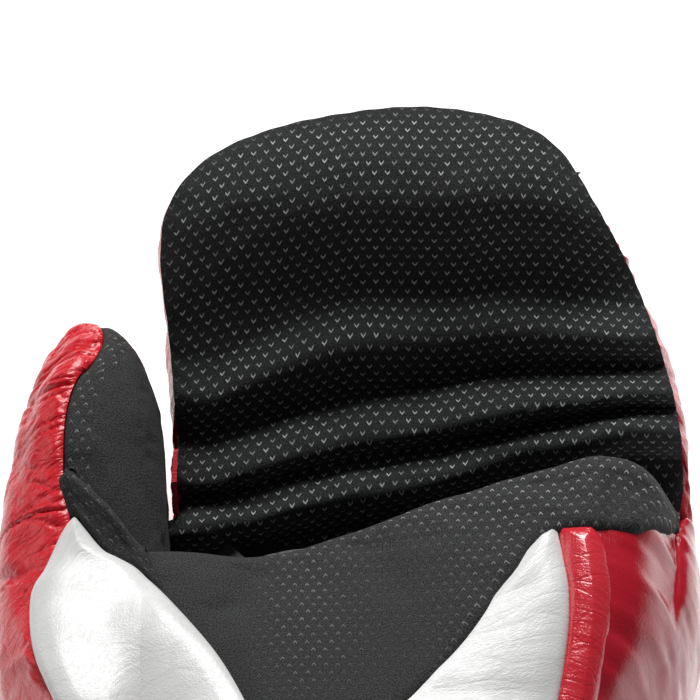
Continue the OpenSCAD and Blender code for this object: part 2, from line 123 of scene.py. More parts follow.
def wander(x: ArrayLike, y: ArrayLike, size: float, seed: int, octaves: int = 3) -> Grid:
    """Soft noise: random lattice values joined by smooth steps, each octave half as large and half as strong.

    Args:
        x: first coordinate, in millimetres.
        y: second coordinate, in millimetres.
        size: distance between lattice points of the first octave.
        seed: picks the lattice values.
        octaves: how many layers are summed.

    Returns:
        Values of about -1 to 1.
    """
    lattice = np.random.default_rng(seed).uniform(-1.0, 1.0, (64, 64))
    x, y = np.broadcast_arrays(np.asarray(x, float), np.asarray(y, float))
    total, gain = np.zeros(x.shape), 1.0
    for octave in range(octaves):
        px, py = x / size * 2**octave + 7.3 * octave, y / size * 2**octave + 3.1 * octave
        ix, iy = np.floor(px).astype(int), np.floor(py).astype(int)
        fx, fy = ease(px - ix), ease(py - iy)
        corners = [lattice[(ix + a) % 64, (iy + b) % 64] for a in (0, 1) for b in (0, 1)]
        total += gain * mix(mix(corners[0], corners[1], fy), mix(corners[2], corners[3], fy), fx)
        gain *= 0.5
    return total


def grid_normals(points: Grid) -> Grid:
    """Unit normals of a grid: the rows' direction crossed with the columns' direction, from differences."""
    along = np.gradient(points, axis=0)
    across = np.gradient(points, axis=1)
    n = np.cross(across, along)
    return n / np.maximum(np.linalg.norm(n, axis=2, keepdims=True), 1e-9)


def arc_along(points: Grid, axis: int) -> Grid:
    """Distance run along one direction of a grid, summed from its first row or column."""
    step = np.linalg.norm(np.diff(points, axis=axis), axis=2)
    start = np.zeros_like(np.take(step, [0], axis=axis))
    return np.concatenate([start, np.cumsum(step, axis=axis)], axis=axis)


def edge_distance(points: Grid, sides: str = "lrtb") -> Grid:
    """Distance along the cloth from each grid point to the nearest of the named edges.

    Args:
        points: the grid, rows by columns.
        sides: which edges count: l first column, r last column, b first row, t last row.

    Returns:
        Distances in the grid's own unit.
    """
    row, col = arc_along(points, 0), arc_along(points, 1)
    found = {"l": col, "r": col[:, -1:] - col, "b": row, "t": row[-1:, :] - row}
    return np.minimum.reduce([found[s] for s in sides])


def relaxed(points: Grid, times: int) -> Grid:
    """Evens out kinks: each point of a grid moves to the mean of its four neighbours, so many times over."""
    for _ in range(times):
        wide = np.pad(points, ((1, 1), (1, 1), (0, 0)), "edge")
        points = (wide[:-2, 1:-1] + wide[2:, 1:-1] + wide[1:-1, :-2] + wide[1:-1, 2:]) / 4
    return points


# ---- meshes --------------------------------------------------------------------------------------


def make_object(name: str, points: Grid, faces: NDArray[np.int64],
                uv: Grid | None = None) -> bpy.types.Object:
    """Mesh object from points in millimetres and quads.

    Args:
        name: the piece's name.
        points: count by 3.
        faces: count by 4 vertex numbers; a triangle repeats none and has -1 last.
        uv: count by 2, the cloth coordinates of each point, in millimetres.

    Returns:
        The object, at the origin, shaded smooth with sharp edges where it turns by more than 50 degrees.
    """
    a, b, c, d = (points[faces[:, i]] for i in (0, 1, 2, 3))
    d = np.where(faces[:, 3:] < 0, a, d)
    volume = (a * (np.cross(b, c) + np.cross(c, d))).sum()
    if volume < 0:
        faces = np.where(faces[:, 3:] < 0, faces[:, [2, 1, 0, 3]], faces[:, ::-1])
    mesh = bpy.data.meshes.new(name)
    polygons = [f[:3].tolist() if f[3] < 0 else f.tolist() for f in faces]
    mesh.from_pydata((points * MM).tolist(), [], polygons)
    loops = np.empty(len(mesh.loops), np.int32)
    mesh.loops.foreach_get("vertex_index", loops)
    if uv is not None:
        layer = mesh.uv_layers.new(name="cloth")
        layer.data.foreach_set("uv", uv[loops].astype(np.float32).ravel())
    mesh.polygons.foreach_set("use_smooth", np.ones(len(mesh.polygons), bool))
    mesh.set_sharp_from_angle(angle=math.radians(50))
    mesh.update()
    obj = bpy.data.objects.new(name, mesh)
    bpy.context.scene.collection.objects.link(obj)
    return obj


def between(name: str, outer: Grid, inner: Grid, uv: Grid | None = None, wrap: bool = False,
            cap: bool = False) -> bpy.types.Object:
    """Closed solid between an outer and an inner grid of the same size.

    Args:
        name: the piece's name.
        outer: rows by columns by 3; its rows crossed with its columns point away from the solid.
        inner: the same rows and columns on the far side.
        uv: rows by columns by 2, the cloth coordinates; both sides share them.
        wrap: joins the last column to the first.
        cap: closes each side's last row with its own fan of triangles instead of a rim.

    Returns:
        The object.
    """
    rows, cols = outer.shape[:2]
    n = rows * cols
    index = np.arange(n).reshape(rows, cols)
    right = np.roll(index, -1, axis=1) if wrap else index[:, 1:]
    left = index if wrap else index[:, :-1]

    def quads(a: NDArray, b: NDArray, c: NDArray, d: NDArray) -> NDArray:
        """Quads from four matching arrays of vertex numbers."""
        return np.stack([a.ravel(), b.ravel(), c.ravel(), d.ravel()], axis=1)

    faces = [quads(left[:-1], right[:-1], right[1:], left[1:]),
             quads(left[:-1] + n, left[1:] + n, right[1:] + n, right[:-1] + n),
             quads(right[0], left[0], left[0] + n, right[0] + n)]
    points = [outer.reshape(-1, 3), inner.reshape(-1, 3)]
    if cap:
        points += [outer[-1].mean(0)[None], inner[-1].mean(0)[None]]
        none = np.full(left[-1].shape, -1)
        faces += [quads(left[-1], right[-1], np.full_like(none, 2 * n), none),
                  quads(right[-1] + n, left[-1] + n, np.full_like(none, 2 * n + 1), none)]
    else:
        faces.append(quads(left[-1], right[-1], right[-1] + n, left[-1] + n))
    if not wrap:
        a, b = index[:, 0], index[:, -1]
        faces += [quads(a[:-1], a[1:], a[1:] + n, a[:-1] + n), quads(b[1:], b[:-1], b[:-1] + n, b[1:] + n)]
    cloth = None
    if uv is not None:
        flat = uv.reshape(-1, 2)
        cloth = np.concatenate([flat, flat] + ([flat[-1:], flat[-1:]] if cap else []))
    return make_object(name, np.concatenate(points), np.concatenate(faces), cloth)


def skin(name: str, base: Grid, height: ArrayLike, thickness: float, uv: Grid | None = None,
         wrap: bool = False, cap: bool = False, calm: int = 0) -> bpy.types.Object:
    """Sheet of cloth or vinyl: the base grid raised by height along its normals, with a parallel far side.

    Args:
        name: the piece's name.
        base: rows by columns by 3, the smooth surface the sheet lies on.
        height: how far the sheet's outer side stands above the base at each point.
        thickness: of the sheet.
        uv: cloth coordinates; left out, they are the distances run along the base.
        wrap: joins the last column to the first.
        cap: closes the last row.
        calm: passes that even out the normals, for a base with sharp folds at its edge.

    Returns:
        The object.
    """
    normal = relaxed(grid_normals(base), calm)
    normal /= np.maximum(np.linalg.norm(normal, axis=2, keepdims=True), 1e-9)
    lift = np.broadcast_to(np.asarray(height, float), base.shape[:2])[..., None]
    outer = base + normal * lift
    if uv is None:
        uv = np.stack([arc_along(base, 1), arc_along(base, 0)], axis=2)
    return between(name, outer, outer - normal * thickness, uv, wrap, cap)


def stitches(name: str, line: Grid, normal: Grid, length: float = 2.3, gap: float = 1.1,
             width: float = 0.55) -> bpy.types.Object:
    """Row of thread stitches along a seam: each is a small bar whose middle stands proud and whose
    ends dip in.

    Args:
        name: the piece's name.
        line: count by 3, the seam line, in millimetres.
        normal: count by 3, away from the cloth.
        length: of one stitch.
        gap: between stitches.
        width: of the thread.

    Returns:
        The object, all stitches in one mesh.
    """
    run = np.concatenate([[0.0], np.cumsum(np.linalg.norm(np.diff(line, axis=0), axis=1))])
    starts = np.arange(gap, run[-1] - length - gap, length + gap)
    part = np.linspace(0, 1, 5)
    at = starts[:, None] + part * length
    pos = np.stack([np.interp(at, run, line[:, i]) for i in range(3)], axis=-1)
    up = np.stack([np.interp(at, run, normal[:, i]) for i in range(3)], axis=-1)
    up /= np.linalg.norm(up, axis=-1, keepdims=True)
    ahead = np.gradient(pos, axis=1)
    ahead /= np.linalg.norm(ahead, axis=-1, keepdims=True)
    side = np.cross(ahead, up)
    sides = 5
    turn = np.linspace(0, 2 * math.pi, sides, endpoint=False)
    thick = width / 2 * np.sqrt(np.clip(1 - (2 * part - 1) ** 6, 0.15, 1))
    rise = width * 0.75 * (1 - (2 * part - 1) ** 4) - width * 0.35
    centre = pos + up * rise[None, :, None]
    ring = centre[:, :, None] + thick[None, :, None, None] * (
        np.cos(turn)[None, None, :, None] * side[:, :, None]
        + np.sin(turn)[None, None, :, None] * up[:, :, None])
    count, rows = ring.shape[:2]
    each = rows * sides
    index = np.arange(each).reshape(rows, sides)
    nxt = np.roll(index, -1, axis=1)
    none = np.full(sides, -1)
    one = np.concatenate([
        np.stack([index[:-1].ravel(), index[1:].ravel(), nxt[1:].ravel(), nxt[:-1].ravel()], axis=1),
        np.stack([index[0], nxt[0], np.full(sides, each), none], axis=1),
        np.stack([nxt[-1], index[-1], np.full(sides, each + 1), none], axis=1)])
    shift = (np.arange(count) * (each + 2))[:, None, None]
    faces = np.where(one[None] < 0, -1, one[None] + shift).reshape(-1, 4)
    points = np.concatenate([ring.reshape(count, each, 3), centre[:, :1], centre[:, -1:]],
                            axis=1).reshape(-1, 3)
    return make_object(name, points, faces)


def cloth_shape(base: Grid, slack: float, pressure: float, most: float, stiffness: float = 0.5,
                frames: int = 20) -> Grid:
    """Lets a sheet held at its edges settle as cloth, and gives how far each point stands off the base.

    The sheet is cut a little larger than its place, so that it buckles into folds, and air pressure fills it.

    Args:
        base: rows by columns by 3, in millimetres; its edge points are held.
        slack: how much larger the cloth is cut, as a share.
        pressure: of the padding under it.
        most: the farthest a point may move, in millimetres.
        stiffness: against bending; more gives wider folds.
        frames: how long the cloth is run.
    """
    rows, cols = base.shape[:2]
    index = np.arange(rows * cols).reshape(rows, cols)
    faces = np.stack([index[:-1, :-1].ravel(), index[:-1, 1:].ravel(), index[1:, 1:].ravel(),
                      index[1:, :-1].ravel()], axis=1)
    obj = make_object("cloth_trial", base.reshape(-1, 3), faces)
    edge = np.ones((rows, cols), bool)
    edge[1:-1, 1:-1] = False
    held = obj.vertex_groups.new(name="held")
    held.add(index[edge].tolist(), 1.0, "REPLACE")
    cloth = obj.modifiers.new("settle", "CLOTH")
    s = cloth.settings
    s.quality, s.mass, s.air_damping = 6, 0.15, 2.0
    s.tension_stiffness = s.compression_stiffness = 20.0
    s.shear_stiffness, s.bending_stiffness = 8.0, stiffness
    s.vertex_group_mass, s.pin_stiffness = "held", 1.0
    s.shrink_min, s.shrink_max = -slack, -slack
    s.use_pressure, s.uniform_pressure_force = True, pressure
    s.effector_weights.gravity = 0.0
    cloth.collision_settings.use_collision = False
    cloth.point_cache.frame_start, cloth.point_cache.frame_end = 1, frames
    scene = bpy.context.scene
    for frame in range(1, frames + 1):
        scene.frame_set(frame)
    settled = obj.evaluated_get(bpy.context.evaluated_depsgraph_get()).data
    co = np.empty(rows * cols * 3, np.float32)
    settled.vertices.foreach_get("co", co)
    moved = co.reshape(rows, cols, 3).astype(float) / MM - base
    scene.frame_set(1)
    bpy.data.objects.remove(obj)
    off = (moved * grid_normals(base)).sum(axis=2)
    return most * np.tanh(off / most)


def finer(values: Grid, rows: int, cols: int) -> Grid:
    """Reads a coarse grid of values at more rows and columns, by smooth steps between the coarse points."""
    r, c = np.linspace(0, values.shape[0] - 1, rows), np.linspace(0, values.shape[1] - 1, cols)
    i, j = np.clip(r.astype(int), 0, values.shape[0] - 2), np.clip(c.astype(int), 0, values.shape[1] - 2)
    fr, fc = (r - i)[:, None], (c - j)[None, :]
    a, b = values[i][:, j], values[i][:, j + 1]
    d, e = values[i + 1][:, j], values[i + 1][:, j + 1]
    return mix(mix(a, b, fc), mix(d, e, fc), fr)


# ---- the glove's body surfaces, as the frame has them ----------------------------------------------


def rounded(turn: ArrayLike) -> tuple[Grid, Grid]:
    """Rounded-box ring of power 2.7: the cosine and sine of the angle, each raised to 2/2.7 with its
    sign kept."""
    c, s = np.cos(np.asarray(turn, float) * DEG), np.sin(np.asarray(turn, float) * DEG)
    power = 2 / 2.7
    return np.sign(c) * np.abs(c) ** power, np.sign(s) * np.abs(s) ** power


@dataclass(frozen=True)
class GloveForm:
    """The sizes the frame was made to, in millimetres and degrees, and its surfaces.

    Each surface gives the point at a station, a ring angle in degrees and a depth under the surface.
    Ring angle 0 is on the little-finger side, 90 on the palm side, 180 on the thumb side and 270 on the back.
    """

    hand_w: float = 127.0
    hand_h: float = 76.0
    wrist_w: float = 108.0
    wrist_h: float = 66.0
    hand_shift: float = 19.0
    crease_slant: float = 8.0
    crease_depth: float = 24.0
    finger_len: float = 97.0
    finger_tilt: float = 45.0
    knuckle_t: float = 97.0
    finger_travel: float = 25.0
    finger_pad: float = 14.0
    pocket_h: float = 24.0
    thumb_len: float = 67.0
    thumb_w: float = 42.0
    thumb_h: float = 46.0
    thumb_tilt: float = 25.0
    thumb_pocket_r: float = 12.0
    hand_pocket_h: float = 26.0
    palm_pad: float = 11.0
    side_pad: float = 13.0
    lining_t: float = 1.2
    cuff_len: float = 68.0
    mouth_w: float = 118.0
    mouth_h: float = 74.0
    cuff_pad: float = 7.0
    binding_t: float = 4.0
    strap_w: float = 50.0
    split_tilt: float = 10.0
    axis_y: float = 18.0
    axis_z: float = 52.0
    wrist_y: float = -75.0
    wrist_lift: float = 3.0
    rest_cut: float = 1.2
    face_drop: float = 8.0
    turn_gap: float = 0.8
    layer_gap: float = 0.3
    skin_t: float = 2.1
    palm_skin_t: float = 1.9
    thumb_gap: float = 0.5
    shift: tuple[float, float, float] = (3.1, 5.35359, -1.2)

    def put(self, x: ArrayLike, y: ArrayLike, z: ArrayLike) -> Grid:
        """Points from three coordinates, moved to the frame's origin."""
        x, y, z = np.broadcast_arrays(np.asarray(x, float), np.asarray(y, float), np.asarray(z, float))
        return np.stack([x, y, z], axis=-1) + np.array(self.shift)

    def hand_half_w(self, u: ArrayLike) -> Grid:
        """Half the hand's width: wrist width to knuckle width by a smooth step that ends three
        quarters on."""
        return mix(self.wrist_w, self.hand_w, ease(np.asarray(u) * 1.35)) / 2

    def hand_half_h(self, u: ArrayLike) -> Grid:
        """Half the hand's height: wrist height to palm height by a smooth step."""
        return mix(self.wrist_h, self.hand_h, ease(u)) / 2

    def hand_mid_x(self, u: ArrayLike) -> Grid:
        """Sideways place of the hand's middle: from the cuff's line to the knuckles' by a smooth step."""
        return self.hand_shift * ease(np.asarray(u) * 1.2)

    def hand_mid_z(self, u: ArrayLike) -> Grid:
        """Height of the hand's middle: half its height and the wrist's lift, which fades forwards."""
        return self.hand_half_h(u) + self.wrist_lift * (1 - ease(u))

    def hand_end(self, z: ArrayLike) -> Grid:
        """Front of the hand section at a height: two planes that meet on the hinge line."""
        z = np.asarray(z, float)
        above = self.axis_y - (z - self.axis_z) * math.tan(self.finger_travel * DEG)
        below = self.axis_y - (self.axis_z - z) * math.tan(self.split_tilt * DEG)
        return np.where(z > self.axis_z, above, below) - self.turn_gap

    def slant(self, x: ArrayLike) -> Grid:
        """How far the crease runs forward at x, from its slant."""
        return (np.asarray(x, float) - self.hand_shift) * math.tan(self.crease_slant * DEG)

    def hand(self, u: ArrayLike, t: ArrayLike, o: float = 0.0) -> Grid:
        """Hand section: rounded-box rings from the wrist seam (u 0) to the hinge surface (u 1)."""
        c0, c1 = rounded(t)
        x = self.hand_mid_x(u) + (self.hand_half_w(u) - o) * c0
        z = np.maximum(self.hand_mid_z(u) + (self.hand_half_h(u) - o) * c1, self.rest_cut + o)
        return self.put(x, mix(self.wrist_y, self.hand_end(z) + self.slant(x), u), z)

    def cuff_wall(self) -> float:
        """Thickness of the cuff: cover, padding, lining and the gaps between them."""
        return self.skin_t + self.cuff_pad + self.layer_gap + self.lining_t

    def hand_pocket(self, u: ArrayLike, t: ArrayLike, o: float = 0.0) -> Grid:
        """Hand pocket: the cuff's inside at the wrist, easing to a flat pocket under the palm's padding."""
        c0, c1 = rounded(t)
        k = ease(np.asarray(u) / 0.35)
        top = (self.hand_mid_z(u) + self.hand_half_h(u) - self.palm_skin_t - self.palm_pad - self.lining_t
               - 2 * self.layer_gap)
        half_w = mix(self.wrist_w / 2 - self.cuff_wall(),
                     self.hand_half_w(u) - self.side_pad - self.skin_t, k)
        half_h = mix(self.wrist_h / 2 - self.cuff_wall(), self.hand_pocket_h / 2, k)
        x = self.hand_mid_x(u) + (half_w - o) * c0
        z = mix(self.hand_mid_z(0.0), top - self.hand_pocket_h / 2, k) + (half_h - o) * c1
        return self.put(x, mix(self.wrist_y, self.hand_end(z) + self.slant(x), u), z)

    def inner_face(self, s: ArrayLike) -> tuple[Grid, Grid]:
        """Height line of the fingers' inner face: from its lip above the hinge line, rising at the
        face's tilt."""
        rise = self.crease_depth - self.face_drop
        y, z = self.axis_y + rise * math.tan(self.split_tilt * DEG), self.axis_z + rise
        s = np.asarray(s, float)
        return y + s * math.cos(self.finger_tilt * DEG), z + s * math.sin(self.finger_tilt * DEG)

    def section_lean(self, s: ArrayLike) -> Grid:
        """Lean of the finger section's cross-section: from the hinge plane round to square with the face."""
        return mix(90 - self.split_tilt, 90 + self.finger_tilt,
                   np.minimum(1, np.asarray(s) / (0.46 * self.finger_len)))

    def section_t(self, s: ArrayLike) -> Grid:
        """Thickness at s: the knuckle thickness or the way down to the floor, whichever is less,
        joined softly."""
        down = self.inner_face(s)[1] / np.sin(self.section_lean(s) * DEG)
        return (self.knuckle_t**-14.0 + down**-14.0) ** (-1 / 14)

    def finger_fade(self, s: ArrayLike, x: ArrayLike) -> Grid:
        """The crease's slant, fading to nothing over four fifths of the fingers."""
        return self.slant(x) * (1 - ease(np.asarray(s) / (0.8 * self.finger_len)))

    def finger_pocket(self, s: ArrayLike, t: ArrayLike, o: float = 0.0) -> Grid:
        """Finger pocket: a flat ring under the inner face that closes as a dome near its end."""
        c0, c1 = rounded(t)
        length = self.finger_len - self.finger_pad - 4
        lean = self.section_lean(s) * DEG
        k = dome((np.asarray(s) / (length - o) - 0.6) / 0.4, 2.2)
        depth = mix(self.face_drop - 1, self.finger_pad,
                    np.minimum(1, np.asarray(s) / (0.46 * self.finger_len)))
        fy, fz = self.inner_face(s)
        drop = depth + self.pocket_h / 2 - (self.pocket_h / 2 - o) * k * c1
        x = self.hand_shift + (self.hand_w / 2 - self.side_pad - self.skin_t - o) * mix(1, k, 0.5) * c0
        return self.put(x, fy - drop * np.cos(lean) + self.finger_fade(s, x), fz - drop * np.sin(lean))

    @property
    def thumb_right(self) -> float:
        """Side of the thumb that faces the hand."""
        return self.hand_shift - self.hand_w / 2 - 2 * self.thumb_gap - 1.2

    @property
    def thumb_x(self) -> float:
        """Middle line of the thumb."""
        return self.thumb_right - self.thumb_w / 2

    def thumb_line(self, s: ArrayLike, rise: ArrayLike) -> tuple[Grid, Grid]:
        """Y and Z at s along the thumb and rise off its middle line, from the thumb's tilt."""
        c, n = math.cos(self.thumb_tilt * DEG), math.sin(self.thumb_tilt * DEG)
        root_y, root_z = n * self.thumb_h / 2, self.hand_h - 5 - c * self.thumb_h / 2
        s, rise = np.asarray(s, float), np.asarray(rise, float)
        return root_y + c * s - n * rise, root_z + n * s + c * rise

    def thumb(self, k: ArrayLike, t: ArrayLike, o: float = 0.0) -> Grid:
        """Thumb: rings along a straight line, narrowing a little and closing as a dome at the tip."""
        c0, c1 = rounded(t)
        k = np.asarray(k, float)
        keep = o * (1 - np.clip(k, 0, 1) ** 12)
        d = dome((k - 0.45) / 0.55, 2.2)
        s = self.turn_gap + k * (self.thumb_len - self.turn_gap - o)
        y, z = self.thumb_line(s, (self.thumb_h / 2 * mix(1, 0.9, k) * d - keep) * c1)
        return self.put(self.thumb_x + (self.thumb_w / 2 * mix(1, 0.84, k) * d - keep) * c0, y, z)

    def thumb_pocket(self, k: ArrayLike, t: ArrayLike, o: float = 0.0) -> Grid:
        """Thumb pocket: round rings that narrow and close as a dome."""
        k, t = np.asarray(k, float), np.asarray(t, float)
        r = np.maximum(0.4, self.thumb_pocket_r * mix(1, 0.85, k) * dome((k - 0.6) / 0.4, 2) - o)
        s = self.turn_gap + k * (self.thumb_len - 16 - self.turn_gap) - np.where(k > 0.9, o, 0)
        y, z = self.thumb_line(s, r * np.sin(t * DEG))
        return self.put(self.thumb_x + r * np.cos(t * DEG), y, z)

    def thumb_base(self, u: ArrayLike, t: ArrayLike, o: float = 0.0) -> Grid:
        """Thumb base: sections that fan from an upright plane by the wrist (u 0) to the thumb's hinge
        plane (u 1)."""
        c0, c1 = rounded(t)
        u = np.asarray(u, float)
        c, n = math.cos(self.thumb_tilt * DEG), math.sin(self.thumb_tilt * DEG)
        top = (mix(self.wrist_y + 10, 0.0, u), mix(self.wrist_h - 3, self.hand_h - 5, u))
        low = (mix(self.wrist_y + 10, n * self.thumb_h, u), mix(14.0, self.hand_h - 5 - c * self.thumb_h, u))
        size = np.hypot(top[0] - low[0], top[1] - low[1])
        y = (top[0] + low[0]) / 2 + (top[0] - low[0]) / size * (size / 2 - o) * c1
        z = (top[1] + low[1]) / 2 + (top[1] - low[1]) / size * (size / 2 - o) * c1
        hu = np.clip((y - self.wrist_y) / (self.axis_y - self.wrist_y), 0, 1)
        limit = np.minimum(self.hand_mid_x(hu) - self.hand_half_w(hu),
                           self.hand_mid_x(1.0) - self.hand_half_w(1.0)) - self.thumb_gap
        left = mix(-self.wrist_w / 2 - 9, self.thumb_x - self.thumb_w / 2, ease(u * 1.5))
        return self.put(mix(left + o, np.minimum(limit, self.thumb_right) - o, (1 + c0) / 2), y, z)

    def cuff(self, v: ArrayLike, t: ArrayLike, o: float = 0.0) -> Grid:
        """Cuff: rings from the wrist seam (v 0) back to the mouth (v 1), widening by a smooth step."""
        c0, c1 = rounded(t)
        start = self.wrist_y - self.layer_gap
        x = (mix(self.wrist_w, self.mouth_w, ease(v)) / 2 - o) * c0
        mid = mix(self.hand_mid_z(0.0), self.mouth_h / 2 + self.rest_cut + 1, ease(v))
        z = mid + (mix(self.wrist_h, self.mouth_h, ease(v)) / 2 - o) * c1
        return self.put(x, mix(start, self.wrist_y - self.cuff_len, v), z)


# ---- the shaped surfaces over that body ------------------------------------------------------------


@dataclass(frozen=True)
class PalmTop:
    """The palm's cushioned top: the hand's rings raised into a pad that rolls over the grip bar.

    The front edge is given as a few stations across the palm: how far forward it runs and how high it stands.
    """

    form: GloveForm
    across: tuple[float, ...] = (-49.7, -41.6, -19.6, 0.0, 24.5, 49.0, 61.2, 73.5, 79.0)
    front: tuple[float, ...] = (4.0, 3.2, 1.1, 6.7, 15.2, 22.0, 25.0, 26.0, 27.0)
    height: tuple[float, ...] = (69.0, 69.8, 70.5, 72.5, 76.5, 80.6, 81.4, 72.6, 59.5)

    def at(self, x: ArrayLike, u: ArrayLike) -> Grid:
        """Palm top at x and station u: the ring's height with the front pad's rise eased in from the wrist.

        Args:
            x: sideways place, in the frame.
            u: 0 at the wrist seam, 1 at the front edge.

        Returns:
            The points.
        """
        f = self.form
        x, u = np.broadcast_arrays(np.asarray(x, float), np.asarray(u, float))

        def ring(at_u: ArrayLike) -> Grid:
            """Height of the hand's own ring over x."""
            c = np.clip(np.abs(x - f.shift[0] - f.hand_mid_x(at_u)) / f.hand_half_w(at_u), 0, 0.985)
            return f.hand_mid_z(at_u) + f.hand_half_h(at_u) * (1 - c**2.7) ** (1 / 2.7) + f.shift[2]

        goal = profile(x, self.across, self.height)
        own = ring(u) + ease(u) * (goal - ring(np.ones_like(u)))
        left = mix(ring(np.zeros_like(u)), goal, ease(u * 1.3))
        z = mix(own, left, ease(-(x + 5) / 30))
        y = mix(f.wrist_y + f.shift[1], profile(x, self.across, self.front), u)
        return np.stack([x, y, z], axis=-1)

    def side(self, u: ArrayLike, t: ArrayLike) -> Grid:
        """The hand's ring at u and angle t, lifted to meet the palm top where it turns upwards."""
        f = self.form
        p = f.hand(u, t)
        u = np.broadcast_to(np.asarray(u, float), p.shape[:-1])
        top = self.at(p[..., 0], u)
        c1 = rounded(t)[1]
        k = ease((c1 - 0.45) / 0.4)
        k = np.broadcast_to(k, p.shape[:-1])
        lift = ease((c1 - 0.1) / 0.6) * ease(u) * np.clip(
            profile(p[..., 0], self.across, self.height) - f.hand(np.ones_like(u), t)[..., 2], 0, 9)
        raised = p + np.stack([np.zeros_like(lift), lift * 0.4, lift], axis=-1)
        return mix(raised, top, k[..., None])


